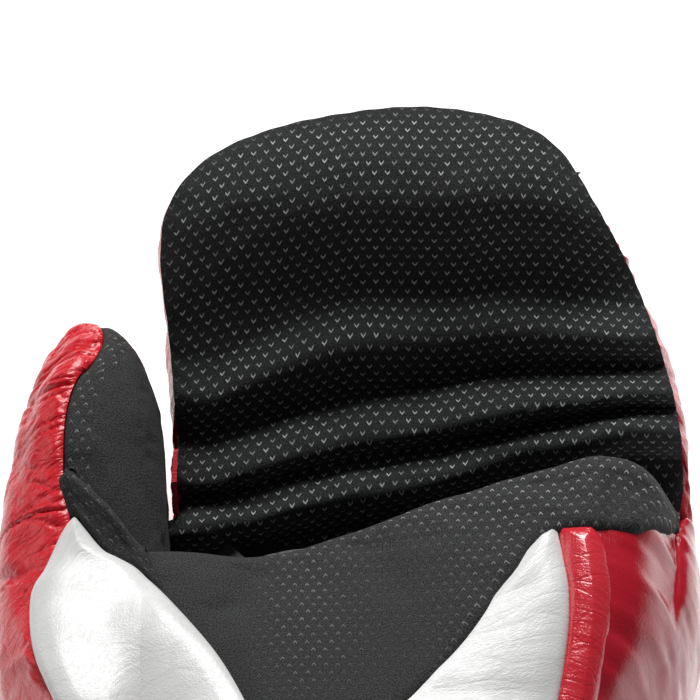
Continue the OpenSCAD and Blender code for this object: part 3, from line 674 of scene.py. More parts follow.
@dataclass(frozen=True)
class FingerFace:
    """The finger section's inner face: a shaped outline over a tilted plane, folded across near the crease.

    A point is p across and q up the plane; the height over it stands towards the palm.
    """

    form: GloveForm
    edge: tuple[tuple[float, float], ...] = (
        (-41.0, -15.0), (-42.1, -1.2), (-42.2, 16.0), (-44.2, 40.0), (-46.3, 59.5), (-44.3, 72.5),
        (-35.6, 83.4),
        (-19.5, 91.2), (2.0, 95.8), (20.0, 96.8), (38.5, 93.6), (50.2, 87.2), (59.5, 73.6), (69.3, 55.2),
        (76.6, 35.2), (80.7, 16.5), (80.5, -2.0), (72.0, -15.0), (20.0, -17.0))
    middle: tuple[float, float] = (17.0, 42.0)
    stations: tuple[float, ...] = (-33.0, -2.5, 17.0, 37.0, 68.0)
    low_crest: tuple[float, ...] = (-6.6, 1.0, 4.9, 11.1, 17.7)
    low_valley: tuple[float, ...] = (2.0, 10.6, 14.7, 18.9, 24.0)
    mid_valley: tuple[float, ...] = (17.3, 25.8, 29.5, 32.6, 34.0)
    top_crest: tuple[float, ...] = (25.9, 37.8, 41.1, 42.1, 40.5)
    top_valley: tuple[float, ...] = (36.0, 49.0, 52.0, 52.8, 49.5)

    def place(self, p: ArrayLike, q: ArrayLike, h: ArrayLike) -> Grid:
        """Frame point of p across, q up and h off the face plane, which leans back at the fingers' tilt."""
        p, q, h = np.broadcast_arrays(np.asarray(p, float), np.asarray(q, float), np.asarray(h, float))
        y, z = self.form.inner_face(0.0)
        c = math.sqrt(0.5)
        return np.stack([p, y + self.form.shift[1] + (q - h) * c, z + self.form.shift[2] + (q + h) * c],
                        axis=-1)

    def outline(self, count: int) -> Grid:
        """The outline as a closed smooth curve through its points (Catmull-Rom), evenly spaced.

        Args:
            count: how many points.

        Returns:
            Points (p, q), starting in the direction of +p and running towards +q.
        """
        pts = np.array(self.edge)
        t = np.linspace(0, 1, 24, endpoint=False)[:, None]
        a, b, c, d = (np.roll(pts, s, axis=0)[:, None] for s in (1, 0, -1, -2))
        fine = (0.5 * (2 * b + (c - a) * t + (2 * a - 5 * b + 4 * c - d) * t**2
                       + (3 * b - a - 3 * c + d) * t**3)).reshape(-1, 2)
        mid = np.array(self.middle)
        angle = np.unwrap(np.arctan2(fine[:, 1] - mid[1], fine[:, 0] - mid[0]))
        if angle[-1] < angle[0]:
            fine, angle = fine[::-1], angle[::-1]
        turn = np.linspace(0, 2 * math.pi, count, endpoint=False)
        wrapped = (angle - angle[0]) % (2 * math.pi)
        order = np.argsort(wrapped)
        at = (turn - angle[0]) % (2 * math.pi)
        both = [np.interp(at, wrapped[order], fine[order, i], period=2 * math.pi) for i in (0, 1)]
        return np.stack(both, axis=-1)

    def folds(self, p: Grid, q: Grid) -> Grid:
        """Height of the folded cloth: between fold lines that cross the face, it climbs from sharp valleys to
        rounded crests by a quarter sine, and above the last fold it rises to a roll at the fingertips.

        Args:
            p: across the face.
            q: up the face.

        Returns:
            Heights off the face plane.
        """
        sway = 0.8 * wander(p, 0 * p, 22, 5, 2)
        crest, valley = profile(p, self.stations, self.low_crest), profile(p, self.stations, self.low_valley)
        lines = [np.full_like(p, -30.0), crest - 7, crest, valley, valley + 2.6,
                 profile(p, self.stations, self.mid_valley), profile(p, self.stations, self.top_crest),
                 profile(p, self.stations, self.top_valley), 76.0 + 0 * p, 100.0 + 0 * p]
        for i in range(1, len(lines)):
            lines[i] = np.maximum(lines[i] + sway * (1 <= i <= 7), lines[i - 1] + 2.2)
        depth = [-17.0, -15.0, -3.5, -12.0, -3.8, -13.0, -4.2, -8.8, 3.0, 0.0]
        depth = [d + 0.7 * wander(p, 0 * p + 40.0 * i, 26, 11, 2) * (d < 0) for i, d in enumerate(depth)]
        depth[7] = depth[7] - 2.5 * ease((p - 35) / 25)
        sharp = [True, True, False, True, False, True, False, None, None, None]
        h = depth[0] + 0 * p
        for i in range(len(lines) - 1):
            k = np.clip((q - lines[i]) / (lines[i + 1] - lines[i]), 0, 1)
            if sharp[i] is True and sharp[i + 1] is False:
                k = np.sin(k * math.pi / 2) ** 1.15
            elif sharp[i] is False and sharp[i + 1] is True:
                k = 1 - np.cos(k * math.pi / 2) ** 1.15
            else:
                k = ease(k)
            h = np.where(q > lines[i], mix(depth[i], depth[i + 1], k), h)
        return h

    def surface(self, rows: int, cols: int) -> tuple[Grid, Grid, Grid]:
        """The face as a grid: a square mapped to a disc, and the disc stretched to the outline.

        Args:
            rows: of the grid.
            cols: of the grid.

        Returns:
            The points, the cloth coordinates (across and distance run up the folds) and the share of the way
            from the middle to the outline.
        """
        b, a = np.meshgrid(np.linspace(-1, 1, rows), np.linspace(-1, 1, cols), indexing="ij")
        dx, dy = a * np.sqrt(1 - b**2 / 2), b * np.sqrt(1 - a**2 / 2)
        rho, angle = np.hypot(dx, dy), np.arctan2(dy, dx) % (2 * math.pi)
        ring = self.outline(720)
        turn = np.linspace(0, 2 * math.pi, 720, endpoint=False)
        mid = np.array(self.middle)
        reach = [np.interp(angle, turn, ring[:, i], period=2 * math.pi) - mid[i] for i in (0, 1)]
        p, q = mid[0] + rho * reach[0], mid[1] + rho * reach[1]
        h = self.folds(p, q) * (1 - 0.25 * rho**6) - 8.5 * rho**7
        pl, ql = np.meshgrid(np.linspace(-60, 95, 156), np.linspace(-22, 102, 497), indexing="ij")
        hl = self.folds(pl, ql)
        run = np.concatenate([np.zeros((156, 1)), np.cumsum(np.hypot(np.diff(ql, axis=1),
                                                                     np.diff(hl, axis=1)), axis=1)],
                             axis=1)
        i = np.clip((p + 60) / 1.0, 0, 154.99)
        j = np.clip((q + 22) / 0.25, 0, 495.99)
        i0, j0 = i.astype(int), j.astype(int)
        fi, fj = i - i0, j - j0
        v = mix(mix(run[i0, j0], run[i0, j0 + 1], fj), mix(run[i0 + 1, j0], run[i0 + 1, j0 + 1], fj), fi)
        v = v + rho**7 * 4.0 * np.sign(dy) * np.abs(dy)
        tilt = profile(p, (-60, 20, 50, 68, 95), (10.5, 10.5, 6.0, 3.0, 0.0))
        v = v - (p - 20) * np.tan(tilt * DEG)
        return self.place(p, q, h), np.stack([p, v], axis=-1), rho


# ---- finishes --------------------------------------------------------------------------------------


class Shader:
    """A material's node tree under construction, with short methods for the nodes the finishes share."""

    def __init__(self, name: str) -> None:
        """Starts a material with one Principled shader.

        Args:
            name: of the material.
        """
        self.material = bpy.data.materials.new(name)
        self.material.use_nodes = True
        self.tree = self.material.node_tree
        self.surface = self.tree.nodes["Principled BSDF"]

    def node(self, kind: str, values: dict | None = None, **settings: object) -> bpy.types.Node:
        """Adds a node.

        Args:
            kind: Blender's node type.
            values: input name or number to a socket to link, or a plain value.
            settings: attributes of the node.

        Returns:
            The node.
        """
        made = self.tree.nodes.new(kind)
        for key, value in settings.items():
            setattr(made, key, value)
        for key, value in (values or {}).items():
            if isinstance(value, bpy.types.NodeSocket):
                self.tree.links.new(value, made.inputs[key])
            else:
                made.inputs[key].default_value = value
        return made

    def math(self, operation: str, *values: object) -> bpy.types.NodeSocket:
        """Result of one arithmetic step on sockets or numbers."""
        return self.node("ShaderNodeMath", dict(enumerate(values)), operation=operation).outputs[0]

    def scaled(self, vector: bpy.types.NodeSocket, by: tuple[float, float, float],
               turn: float = 0.0) -> bpy.types.NodeSocket:
        """Coordinates turned about Z, then stretched by three factors."""
        values = {"Vector": vector, "Scale": by, "Rotation": (0, 0, turn)}
        return self.node("ShaderNodeMapping", values).outputs[0]

    def cloth(self) -> bpy.types.NodeSocket:
        """The piece's own cloth coordinates, in millimetres."""
        return self.node("ShaderNodeUVMap", uv_map="cloth").outputs[0]

    def place(self) -> bpy.types.NodeSocket:
        """The piece's own place, in millimetres."""
        return self.scaled(self.node("ShaderNodeTexCoord").outputs["Object"], (1000, 1000, 1000))

    def noise(self, vector: bpy.types.NodeSocket, scale: float, detail: float = 3.0,
              rough: float = 0.55) -> bpy.types.NodeSocket:
        """Cloudy noise, 0 to 1."""
        values = {"Vector": vector, "Scale": scale, "Detail": detail, "Roughness": rough}
        return self.node("ShaderNodeTexNoise", values).outputs["Fac"]

    def cells(self, vector: bpy.types.NodeSocket, scale: float, feature: str = "F1") -> bpy.types.NodeSocket:
        """Distance within cells: to a cell's point, or to its edge."""
        return self.node("ShaderNodeTexVoronoi", {"Vector": vector, "Scale": scale},
                         feature=feature).outputs["Distance"]

    def range(self, value: bpy.types.NodeSocket, low: float, high: float, to_low: float = 0.0,
              to_high: float = 1.0) -> bpy.types.NodeSocket:
        """Value carried smoothly from one span to another and held at its ends."""
        values = {"Value": value, "From Min": low, "From Max": high, "To Min": to_low, "To Max": to_high}
        return self.node("ShaderNodeMapRange", values, interpolation_type="SMOOTHSTEP").outputs[0]

    def colour(self, fac: object, a: object, b: object) -> bpy.types.NodeSocket:
        """Colour blend from a to b; each is a socket or three numbers."""
        made = self.node("ShaderNodeMix", {"Factor": fac}, data_type="RGBA")
        for at, value in ((6, a), (7, b)):
            if isinstance(value, bpy.types.NodeSocket):
                self.tree.links.new(value, made.inputs[at])
            else:
                made.inputs[at].default_value = (*value, 1)
        return made.outputs[2]

    def relief(self, height: bpy.types.NodeSocket, distance: float, strength: float = 1.0) -> None:
        """Links a height, 0 to 1, to the shader's normal; distance is the height's size in millimetres."""
        values = {"Height": height, "Distance": distance * MM, "Strength": strength}
        self.tree.links.new(self.node("ShaderNodeBump", values).outputs[0], self.surface.inputs["Normal"])

    def link(self, socket: bpy.types.NodeSocket, name: str) -> None:
        """Links a socket to one of the shader's inputs."""
        self.tree.links.new(socket, self.surface.inputs[name])

    def set(self, **values: float) -> None:
        """Sets the shader's own constant inputs; an underscore in a name stands for a space."""
        for key, value in values.items():
            self.surface.inputs[key.replace("_", " ")].default_value = value


class Mark(Enum):
    """Which way the knit's small angled marks point."""

    DOWN = -1.0
    UP = 1.0


@dataclass(frozen=True)
class Knit:
    """Black spacer knit: a fine grainy ground with rows of small pale angled marks, half a pitch apart."""

    name: str = "knit"
    mark: Mark = Mark.DOWN
    pitch: float = 3.13
    row: float = 2.45
    ground: tuple[float, float, float] = (0.022, 0.0228, 0.0228)
    pale: tuple[float, float, float] = (0.52, 0.53, 0.53)
    size: float = 1.0

    def build(self) -> bpy.types.Material:
        """Makes the material; the mesh's point value "marks" says where the marks show, 0 to 1."""
        s = Shader(self.name)
        cloth = s.cloth()
        xy = s.node("ShaderNodeSeparateXYZ", {0: cloth})
        drift = s.math("MULTIPLY", s.math("SUBTRACT", s.noise(cloth, 0.06, 2), 0.5), 1.6)
        across = s.math("DIVIDE", s.math("ADD", xy.outputs[0], drift), self.pitch)
        along = s.math("DIVIDE", s.math("ADD", xy.outputs[1], drift), self.row)
        row = s.math("FLOOR", along)
        half = s.math("MULTIPLY", s.math("FLOORED_MODULO", row, 2.0), 0.5)
        staggered = s.math("ADD", across, half)
        dx = s.math("MULTIPLY", s.math("SUBTRACT", s.math("FRACT", staggered), 0.5), self.pitch / self.size)
        dy = s.math("MULTIPLY", s.math("SUBTRACT", s.math("FRACT", along), 0.5), self.row / self.size)
        arm = s.math("MULTIPLY_ADD", s.math("ABSOLUTE", dx), 1.4, -0.42)
        off = s.math("ABSOLUTE", s.math("SUBTRACT", s.math("MULTIPLY", dy, -self.mark.value), arm))
        stroke = s.range(s.math("MULTIPLY", off, 0.58), 0.10, 0.22, 1, 0)
        arms = s.math("MULTIPLY", stroke, s.range(s.math("ABSOLUTE", dx), 0.5, 0.66, 1, 0))
        cell = s.node("ShaderNodeCombineXYZ", {0: s.math("FLOOR", staggered), 1: row})
        pick = s.node("ShaderNodeTexWhiteNoise", {0: cell.outputs[0]}, noise_dimensions="2D").outputs[0]
        shown = s.node("ShaderNodeAttribute", attribute_name="marks").outputs["Fac"]
        strength = s.math("MULTIPLY", s.math("MULTIPLY", arms, s.range(pick, 0, 1, 0.45, 1)), shown)
        grain = s.noise(cloth, 2.6, 2, 0.7)
        loops = s.cells(cloth, 1.9)
        shade = s.range(grain, 0.3, 0.72, 0.35, 2.1)
        ground = s.node("ShaderNodeVectorMath", {0: self.ground, "Scale": shade},
                        operation="SCALE").outputs[0]
        speck = s.range(s.noise(cloth, 3.7, 1), 0.66, 0.78, 0, 0.28)
        ground = s.colour(speck, ground, (0.10, 0.105, 0.105))
        fibre = s.range(s.noise(cloth, 5.0, 1), 0.3, 0.7, 0.6, 1.0)
        s.link(s.colour(s.math("MULTIPLY", strength, fibre), ground, self.pale), "Base Color")
        height = s.math("ADD", s.math("MULTIPLY", grain, 0.5), s.math("MULTIPLY", strength, 0.5))
        s.relief(s.math("SUBTRACT", height, s.math("MULTIPLY", loops, 0.25)), 0.35, 0.8)
        s.set(Roughness=0.88, Sheen_Weight=0.04, Sheen_Roughness=0.4, Specular_IOR_Level=0.12)
        return s.material


@dataclass(frozen=True)
class Vinyl:
    """Coated vinyl: a glossy coat over a fine pebbled grain, with creases that fold finer the more it
    is crinkled, and painted shade that darkens the crease lines."""

    name: str
    colour: tuple[float, float, float]
    worn: tuple[float, float, float]
    roughness: float = 0.3
    coat: float = 0.35
    crinkle: float = 0.35
    fold: float = 3.2

    def build(self) -> bpy.types.Material:
        """Makes the material on the piece's cloth coordinates."""
        s = Shader(self.name)
        cloth = s.cloth()
        wide = s.noise(s.scaled(cloth, (0.5, 1.0, 1.0)), 0.11, 3)
        patch = s.range(wide, 0.35, 0.7)
        tone = s.colour(s.math("MULTIPLY", patch, 0.45), self.colour, self.worn)
        crease = s.range(s.cells(s.scaled(cloth, (0.45, 1.0, 1.0)), 1.0 / self.fold, "DISTANCE_TO_EDGE"),
                         0, 0.09)
        # Painted shade: along the crease lines the colour darkens towards 62 per cent of its base, as shade
        # in the folds.
        dark = tuple(0.62 * c for c in self.colour)
        s.link(s.colour(s.math("MULTIPLY", s.math("SUBTRACT", 1.0, crease), 0.35 * self.crinkle), tone, dark),
               "Base Color")
        grain = s.math("ADD", s.math("MULTIPLY", s.cells(cloth, 2.2), 0.5),
                       s.math("MULTIPLY", s.noise(cloth, 1.3, 3), 0.5))
        folds = s.math("MULTIPLY", s.noise(s.scaled(cloth, (0.3, 1.0, 1.0)), 1.6 / self.fold, 4),
                       self.crinkle)
        height = s.math("ADD", s.math("MULTIPLY", grain, 0.10), folds)
        s.relief(s.math("ADD", height, s.math("MULTIPLY", crease, 0.18 * self.crinkle)), 1.3, 0.75)
        s.link(s.range(s.noise(cloth, 0.7, 3), 0.3, 0.75, self.roughness * 0.8, self.roughness * 1.35),
               "Roughness")
        s.set(Coat_Weight=self.coat, Coat_Roughness=0.16, Specular_IOR_Level=0.5)
        return s.material


@dataclass(frozen=True)
class Weave:
    """Plain woven or ribbed cloth: two sets of threads at right angles, with a brushed surface and
    painted highlights on the raised threads.
    """

    name: str
    colour: tuple[float, float, float]
    thread: float = 0.6
    rib: float = 1.0
    sheen: float = 0.3

    def build(self) -> bpy.types.Material:
        """Makes the material; rib above 1 widens the threads that run across."""
        s = Shader(self.name)
        cloth = s.cloth()
        xy = s.node("ShaderNodeSeparateXYZ", {0: cloth})
        turn = 2 * math.pi / self.thread
        warp = s.math("SINE", s.math("MULTIPLY", xy.outputs[0], turn))
        weft = s.math("SINE", s.math("MULTIPLY", xy.outputs[1], turn / self.rib))
        over = s.math("MULTIPLY_ADD", s.math("MULTIPLY", warp, weft), 0.5, 0.5)
        fuzz = s.noise(cloth, 3.0, 3, 0.7)
        # Painted highlight: where the threads stand raised and fuzzy the colour lightens up to 2.2 times, as
        # light on their tops.
        light = tuple(2.2 * c for c in self.colour)
        s.link(s.colour(s.math("MULTIPLY", over, fuzz), self.colour, light), "Base Color")
        s.relief(s.math("ADD", s.math("MULTIPLY", over, 0.6), s.math("MULTIPLY", fuzz, 0.4)), 0.25, 0.8)
        s.set(Roughness=0.9, Sheen_Weight=self.sheen, Sheen_Roughness=0.4, Specular_IOR_Level=0.2)
        return s.material


@dataclass(frozen=True)
class Foam:
    """Closed-cell foam sheet: small pores darkened by painted shade in their hollows, and the faint
    dark lines where its layers are glued.
    """

    name: str = "foam"
    colour: tuple[float, float, float] = (0.10, 0.10, 0.11)

    def build(self) -> bpy.types.Material:
        """Makes the material on the piece's own place."""
        s = Shader(self.name)
        place = s.place()
        pores = s.cells(place, 1.1)
        z = s.node("ShaderNodeSeparateXYZ", {0: place}).outputs[2]
        seam = s.range(s.math("ABSOLUTE", s.math("SUBTRACT", s.math("FRACT", s.math("DIVIDE", z, 5.0)),
                                                 0.5)), 0, 0.06)
        dark = tuple(0.5 * c for c in self.colour)
        # Painted shade darkens the middle of each pore hollow; the dark glue lines every 5 mm are the foam's
        # own colour.
        shade = s.math("MULTIPLY", s.range(pores, 0.05, 0.5), seam)
        s.link(s.colour(shade, dark, self.colour), "Base Color")
        s.relief(s.math("ADD", pores, s.noise(place, 0.5, 3)), 0.4, 0.7)
        s.set(Roughness=0.85, Specular_IOR_Level=0.25)
        return s.material


@dataclass(frozen=True)
class Tape:
    """Hook tape, as ranks of tiny moulded hooks, or loop tape, as matted fibre; a painted highlight
    lightens the tops of the hooks and of the pile.
    """

    name: str
    colour: tuple[float, float, float]
    hooked: bool

    def build(self) -> bpy.types.Material:
        """Makes the material on the piece's cloth coordinates."""
        s = Shader(self.name)
        cloth = s.cloth()
        if self.hooked:
            height = s.range(s.cells(s.scaled(cloth, (1.0, 0.7, 1.0)), 1.15), 0.15, 0.42, 1, 0)
        else:
            height = s.noise(s.scaled(cloth, (1.0, 1.4, 1.0)), 2.0, 5, 0.75)
        # Painted highlight: the colour lightens up to 2.6 times where the hooks or the pile stand highest.
        light = tuple(2.6 * c for c in self.colour)
        s.link(s.colour(height, self.colour, light), "Base Color")
        s.relief(height, 0.6, 0.9)
        s.set(Roughness=0.45 if self.hooked else 0.95, Sheen_Weight=0.0 if self.hooked else 0.4,
              Specular_IOR_Level=0.4)
        return s.material


@dataclass(frozen=True)
class Rubber:
    """Moulded rubber or twisted thread: matt, slightly clouded, with a fine grain."""

    name: str
    colour: tuple[float, float, float]
    grain: float = 1.4

    def build(self) -> bpy.types.Material:
        """Makes the material on the piece's own place."""
        s = Shader(self.name)
        place = s.place()
        cloud = s.noise(place, 0.15, 3)
        dull = tuple(0.72 * c for c in self.colour)
        s.link(s.colour(s.range(cloud, 0.3, 0.7), dull, self.colour), "Base Color")
        s.relief(s.noise(place, self.grain, 3), 0.2, 0.5)
        s.link(s.range(s.noise(place, 0.4, 2), 0.3, 0.7, 0.45, 0.65), "Roughness")
        return s.material


@dataclass
class Wardrobe:
    """The glove's finishes, each made once."""

    made: dict[str, bpy.types.Material] = field(default_factory=dict)

    def __getitem__(self, name: str) -> bpy.types.Material:
        """The material of that name."""
        return self.made[name]

    def sew(self) -> "Wardrobe":
        """Makes every finish.

        Returns:
            This wardrobe.
        """
        red = (0.62, 0.010, 0.020)
        for finish in (
            Knit("knit_down", Mark.DOWN),
            Knit("knit_up", Mark.UP, 2.9, 2.4, (0.033, 0.034, 0.0332), (0.46, 0.47, 0.47), 0.8),
            Vinyl("red_vinyl", red, (0.72, 0.03, 0.045), 0.27, 0.2, 0.5),
            Vinyl("red_smooth", (0.42, 0.008, 0.02), (0.5, 0.012, 0.028), 0.2, 0.6, 0.12, 7.0),
            Vinyl("red_strip", (0.62, 0.02, 0.035), (0.70, 0.05, 0.07), 0.2, 0.6, 0.3, 4.0),
            Vinyl("white_vinyl", (0.69, 0.69, 0.68), (0.64, 0.635, 0.62), 0.4, 0.2, 0.18, 7.0),
            Weave("lining", (0.014, 0.014, 0.016)),
            Weave("binding", (0.012, 0.012, 0.013), 0.9, 2.5, 0.15),
            Foam(),
            Tape("hook_tape", (0.02, 0.02, 0.021), True),
            Tape("loop_pile", (0.018, 0.018, 0.02), False),
            Rubber("badge", (0.62, 0.62, 0.63)),
            Rubber("thread", (0.35, 0.02, 0.03), 4.0),
            Rubber("thread_black", (0.02, 0.02, 0.022), 4.0),
        ):
            self.made[finish.name] = finish.build()
        return self


# ---- sub-assemblies --------------------------------------------------------------------------------


@dataclass
class Assembly:
    """What every sub-assembly shares: the glove's form, its finishes, and how a finished piece is dressed."""

    form: GloveForm
    wardrobe: Wardrobe

    def dress(self, piece: bpy.types.Object, finish: str, slot: str, nodes: Sequence[str] = (),
              body: str | None = "hand", fill: float | None = None) -> bpy.types.Object:
        """Gives a piece its material, hides the nodes it stands for and fixes it to its body.

        Args:
            piece: the finished mesh.
            finish: name of the material.
            slot: the material slot's name; not used.
            nodes: CAD nodes it stands for.
            body: what it rides on; None leaves it unattached.
            fill: set for a padded piece, 0 slack to 1 tight; not used.

        Returns:
            The piece.
        """
        piece.data.materials.append(self.wardrobe[finish])
        if nodes:
            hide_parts(*nodes)
        if body is not None:
            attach(piece, body)
        LOG.info("%s: %d faces", piece.name, len(piece.data.polygons))
        return piece

    def marks(self, piece: bpy.types.Object, values: Grid) -> None:
        """Stores where the knit's marks show, for both sides of a skin.

        Args:
            piece: a skin made from a grid.
            values: one for each grid point.
        """
        attribute = piece.data.attributes.new("marks", "FLOAT", "POINT")
        count = len(piece.data.vertices)
        attribute.data.foreach_set("value", np.resize(values.ravel(), count).astype(np.float32))

    def sheet(self, piece: bpy.types.Object, base: Grid, rests_on: Sequence[str]) -> None:
        """Takes a sewn sheet of cloth, its base grid and what it rests on, and does nothing with them."""


def seam_dip(distance: Grid, deep: float = 1.6, reach: float = 1.6) -> Grid:
    """Pull of a sewn edge: -deep at the edge, fading as exp(-distance / reach)."""
    return -deep * np.exp(-distance / reach)


def spline(points: Sequence[Sequence[float]], count: int) -> Grid:
    """Smooth curve through points (Catmull-Rom), read at evenly spaced distances.

    Args:
        points: two or three coordinates each.
        count: how many points to return.

    Returns:
        count by the points' own number of coordinates.
    """
    pts = np.asarray(points, float)
    pts = np.concatenate([2 * pts[:1] - pts[1:2], pts, 2 * pts[-1:] - pts[-2:-1]])
    t = np.linspace(0, 1, 16, endpoint=False)[None, :, None]
    a, b, c, d = pts[:-3, None], pts[1:-2, None], pts[2:-1, None], pts[3:, None]
    fine = 0.5 * (2 * b + (c - a) * t + (2 * a - 5 * b + 4 * c - d) * t**2 + (3 * b - a - 3 * c + d) * t**3)
    fine = np.concatenate([fine.reshape(-1, pts.shape[1]), pts[-2:-1]])
    run = np.concatenate([[0.0], np.cumsum(np.linalg.norm(np.diff(fine, axis=0), axis=1))])
    at = np.linspace(0, run[-1], count)
    return np.stack([np.interp(at, run, fine[:, i]) for i in range(pts.shape[1])], axis=-1)


@dataclass
class FingerSection(Assembly):
    """The closed finger section: folded knit face, gathered vinyl over the knuckles, padding and pocket."""

    rows: int = 200
    rim_out: float = 4.8
    tip_in: float = 2.6
    gather: float = 0.85

    def __post_init__(self) -> None:
        """Reads the face's outline once, for the shell that meets it."""
        self.face = FingerFace(self.form)
        ring = self.face.outline(720)
        mid = self.face.middle[0]
        top = int(np.argmax(ring[:, 1]))
        right, left = np.roll(ring, -top, axis=0)[::-1][:400], np.roll(ring, -top, axis=0)[:400]
        right, left = right[right[:, 0] > mid - 20], left[left[:, 0] < mid + 20]
        right, left = right[np.argsort(right[:, 1])], left[np.argsort(left[:, 1])]
        self.right_edge, self.left_edge = right, left

    def widths(self, s: ArrayLike) -> tuple[Grid, Grid]:
        """Left and right ends of the outline at s up the face."""
        q = np.clip(s, -12, 96.7)
        return (np.interp(q, self.left_edge[:, 1], self.left_edge[:, 0]),
                np.interp(q, self.right_edge[:, 1], self.right_edge[:, 0]))

    def section(self, s: ArrayLike, t: ArrayLike, o: float = 0.0) -> Grid:
        """Finger section under the face: the frame's thickness and lean, with the face outline's own widths.

        Args:
            s: distance up the inner face.
            t: ring angle.
            o: depth under the surface.

        Returns:
            The points.
        """
        f = self.form
        s, t = np.broadcast_arrays(np.asarray(s, float), np.asarray(t, float))
        c0, c1 = rounded(t)
        lean = f.section_lean(s) * DEG
        shape = dome((s / (f.finger_len - self.tip_in - o) - 0.4) / 0.6, 2.8)
        thick = f.section_t(s)
        drop = o + (1 - shape) * f.finger_pad + (thick - 2 * o) * shape / 2 - (thick / 2 - o) * shape * c1
        fy, fz = f.inner_face(s)
        left, right = self.widths(s)
        right = right + self.rim_out * (1 - ease((s - 8) / 52)) - 6.0 * ease((s - 34) / 16)
        tuck = 1.8 + 1.0 * ease((s - 40) / 30)
        x = mix(left + tuck + o, right - tuck - o, (1 + c0) / 2) - f.shift[0]
        y = fy - drop * np.cos(lean) + f.finger_fade(s, x)
        return f.put(x, y, np.maximum(fz - drop * np.sin(lean), f.rest_cut + o))

    def pull(self, s: ArrayLike, right: bool, o: float) -> Grid:
        """Step from the section's own edge to the seam on the face's edge, at s up the face."""
        edge = self.widths(s)[int(right)]
        q = np.clip(s, -12, 96.7)
        out = (0.7 + o) * (-1 if right else 1)
        goal = self.face.place(edge + out, q, self.face.folds(edge, q) * 0.75 - 9.6 - o)
        return goal - self.section(s, 390.0 if right else 150.0, o)

    def bowl(self, s: ArrayLike, t: ArrayLike, o: float = 0.0) -> Grid:
        """The section with both of its edges drawn to the face's seam; the pull fades towards the
        knuckles."""
        s, t = np.broadcast_arrays(np.asarray(s, float), np.asarray(t, float) % 360)
        inside = np.clip((t - 30) / 120, 0, 1)
        right = np.where(t > 180, ease((t - 342) / 48), np.where(t < 30, ease((t + 18) / 48), 1 - inside))
        left = np.where(t < 150, np.where(t < 30, 0.0, inside), ease((198 - t) / 48))
        points = (self.section(s, t, o) + right[..., None] * self.pull(s, True, o)
                  + left[..., None] * self.pull(s, False, o))
        return points

    def build_face(self) -> None:
        """The knit face: the folded surface with fine wrinkles, loosened as cloth held along its seam."""
        rows = self.rows
        base, uv, rho = self.face.surface(rows, rows)
        coarse = self.face.surface(56, 56)[0]
        settled = finer(cloth_shape(coarse, 0.012, 3.0, 0.9, 0.8), rows, rows) * (1 - rho**4)
        p, v = uv[..., 0], uv[..., 1]
        low = ease((62 - v) / 20)
        fine = (0.55 * wander(p / 5.0, v, 4.2, 21, 3) * low + 0.16 * wander(p, v, 7, 22, 3)
                + 0.5 * wander(p / 2.2, v / 1.5, 14, 23, 2))
        edge = ease(rho / 0.5)
        puckers = 0.2 * np.sin(2 * math.pi * (np.arctan2(v - 45, p - 17) * 60 / 4.2)) * bump(rho, 0.975, 0.03)
        piece = skin("finger_face_cloth", base, (settled + fine) * (1 - 0.6 * edge * rho**8) + puckers,
                     1.6, uv)
        fade = 1 - 0.8 * ease((rho - 0.93) / 0.06)
        self.marks(piece, fade)
        self.dress(piece, "knit_down", "knit_mesh", ["finger_panel"], "fingers", 0.8)

    def shell_grid(self, rows: int, cols: int, o: float = 0.0) -> Grid:
        """The knuckle side, from one edge of the face round the back to the other, meeting the face's seam.

        Args:
            rows: along the fingers, closer together towards the tip.
            cols: round the back.
            o: depth under the surface.

        Returns:
            The points.
        """
        reach = self.form.finger_len - self.tip_in - o
        s = (reach * np.minimum(np.sin(np.linspace(0, math.pi / 2, rows)), 0.99998))[:, None]
        base = self.bowl(s, np.linspace(390, 150, cols)[None, :], o)
        ring = self.face.outline(720)
        ring = ring[ring[:, 1] > 60]
        ring = ring[np.argsort(ring[:, 0])]
        p = np.clip(base[-1, :, 0], *self.widths(s[-1]))
        q = np.interp(p, ring[:, 0], ring[:, 1])
        goal = self.face.place(p, q - 0.4, self.face.folds(p, q) * 0.75 - 9.6 - o)
        k = np.linspace(0, 1, 1 + rows // 14)[1:, None, None]
        return np.concatenate([base, mix(base[-1][None], goal[None], k)])

    def build_shell(self) -> None:
        """The glossy shell: gathered into small puckers along the face's seam, smoother over the knuckles."""
        base = self.shell_grid(168, 260)
        coarse = self.shell_grid(42, 60)
        settled = finer(cloth_shape(coarse, 0.015, 2.0, 1.0, 0.6), *base.shape[:2])
        along, across = arc_along(base, 0), arc_along(base, 1)
        sides, top = edge_distance(base, "lr"), edge_distance(base, "t")
        edge = np.minimum(sides, top)
        near_top = ease((sides - top) / 6)
        turn = mix(along / 4.6, across / 4.6, near_top)
        gather = self.gather * np.sin(2 * math.pi * (turn + 0.5 * wander(along, across, 16, 31, 2)))
        gather = gather * np.exp(-edge / 9.0) * ease(edge / 1.5)
        folds = 0.5 * wander(across / 3, along, 9, 34, 3) * (0.4 + np.exp(-edge / 22))
        height = (settled + gather + folds) * ease((edge + 1) / 5) * ease((along + 1) / 9)
        height = height + seam_dip(edge, 1.0, 1.2)
        height = height - 1.6 * np.exp(-((edge / 30) ** 2))
        height[:3] -= np.linspace(1.0, 0.2, 3)[:, None]
        inside = base[-1, base.shape[1] // 2] - np.array([0.0, 4.0, 8.0])
        for corner in (base[-1, 0].copy(), base[-1, -1].copy()):
            near = np.exp(-((np.linalg.norm(base - corner, axis=2) / 7) ** 2))
            way = (inside - corner) / np.linalg.norm(inside - corner)
            base, height = base + 3.2 * near[..., None] * way, height * (1 - near)
        piece = skin("knuckle_shell_vinyl", base, height, 1.6, calm=60)
        self.dress(piece, "red_vinyl", "red_vinyl", ["knuckle_shell"], "fingers", 0.9)

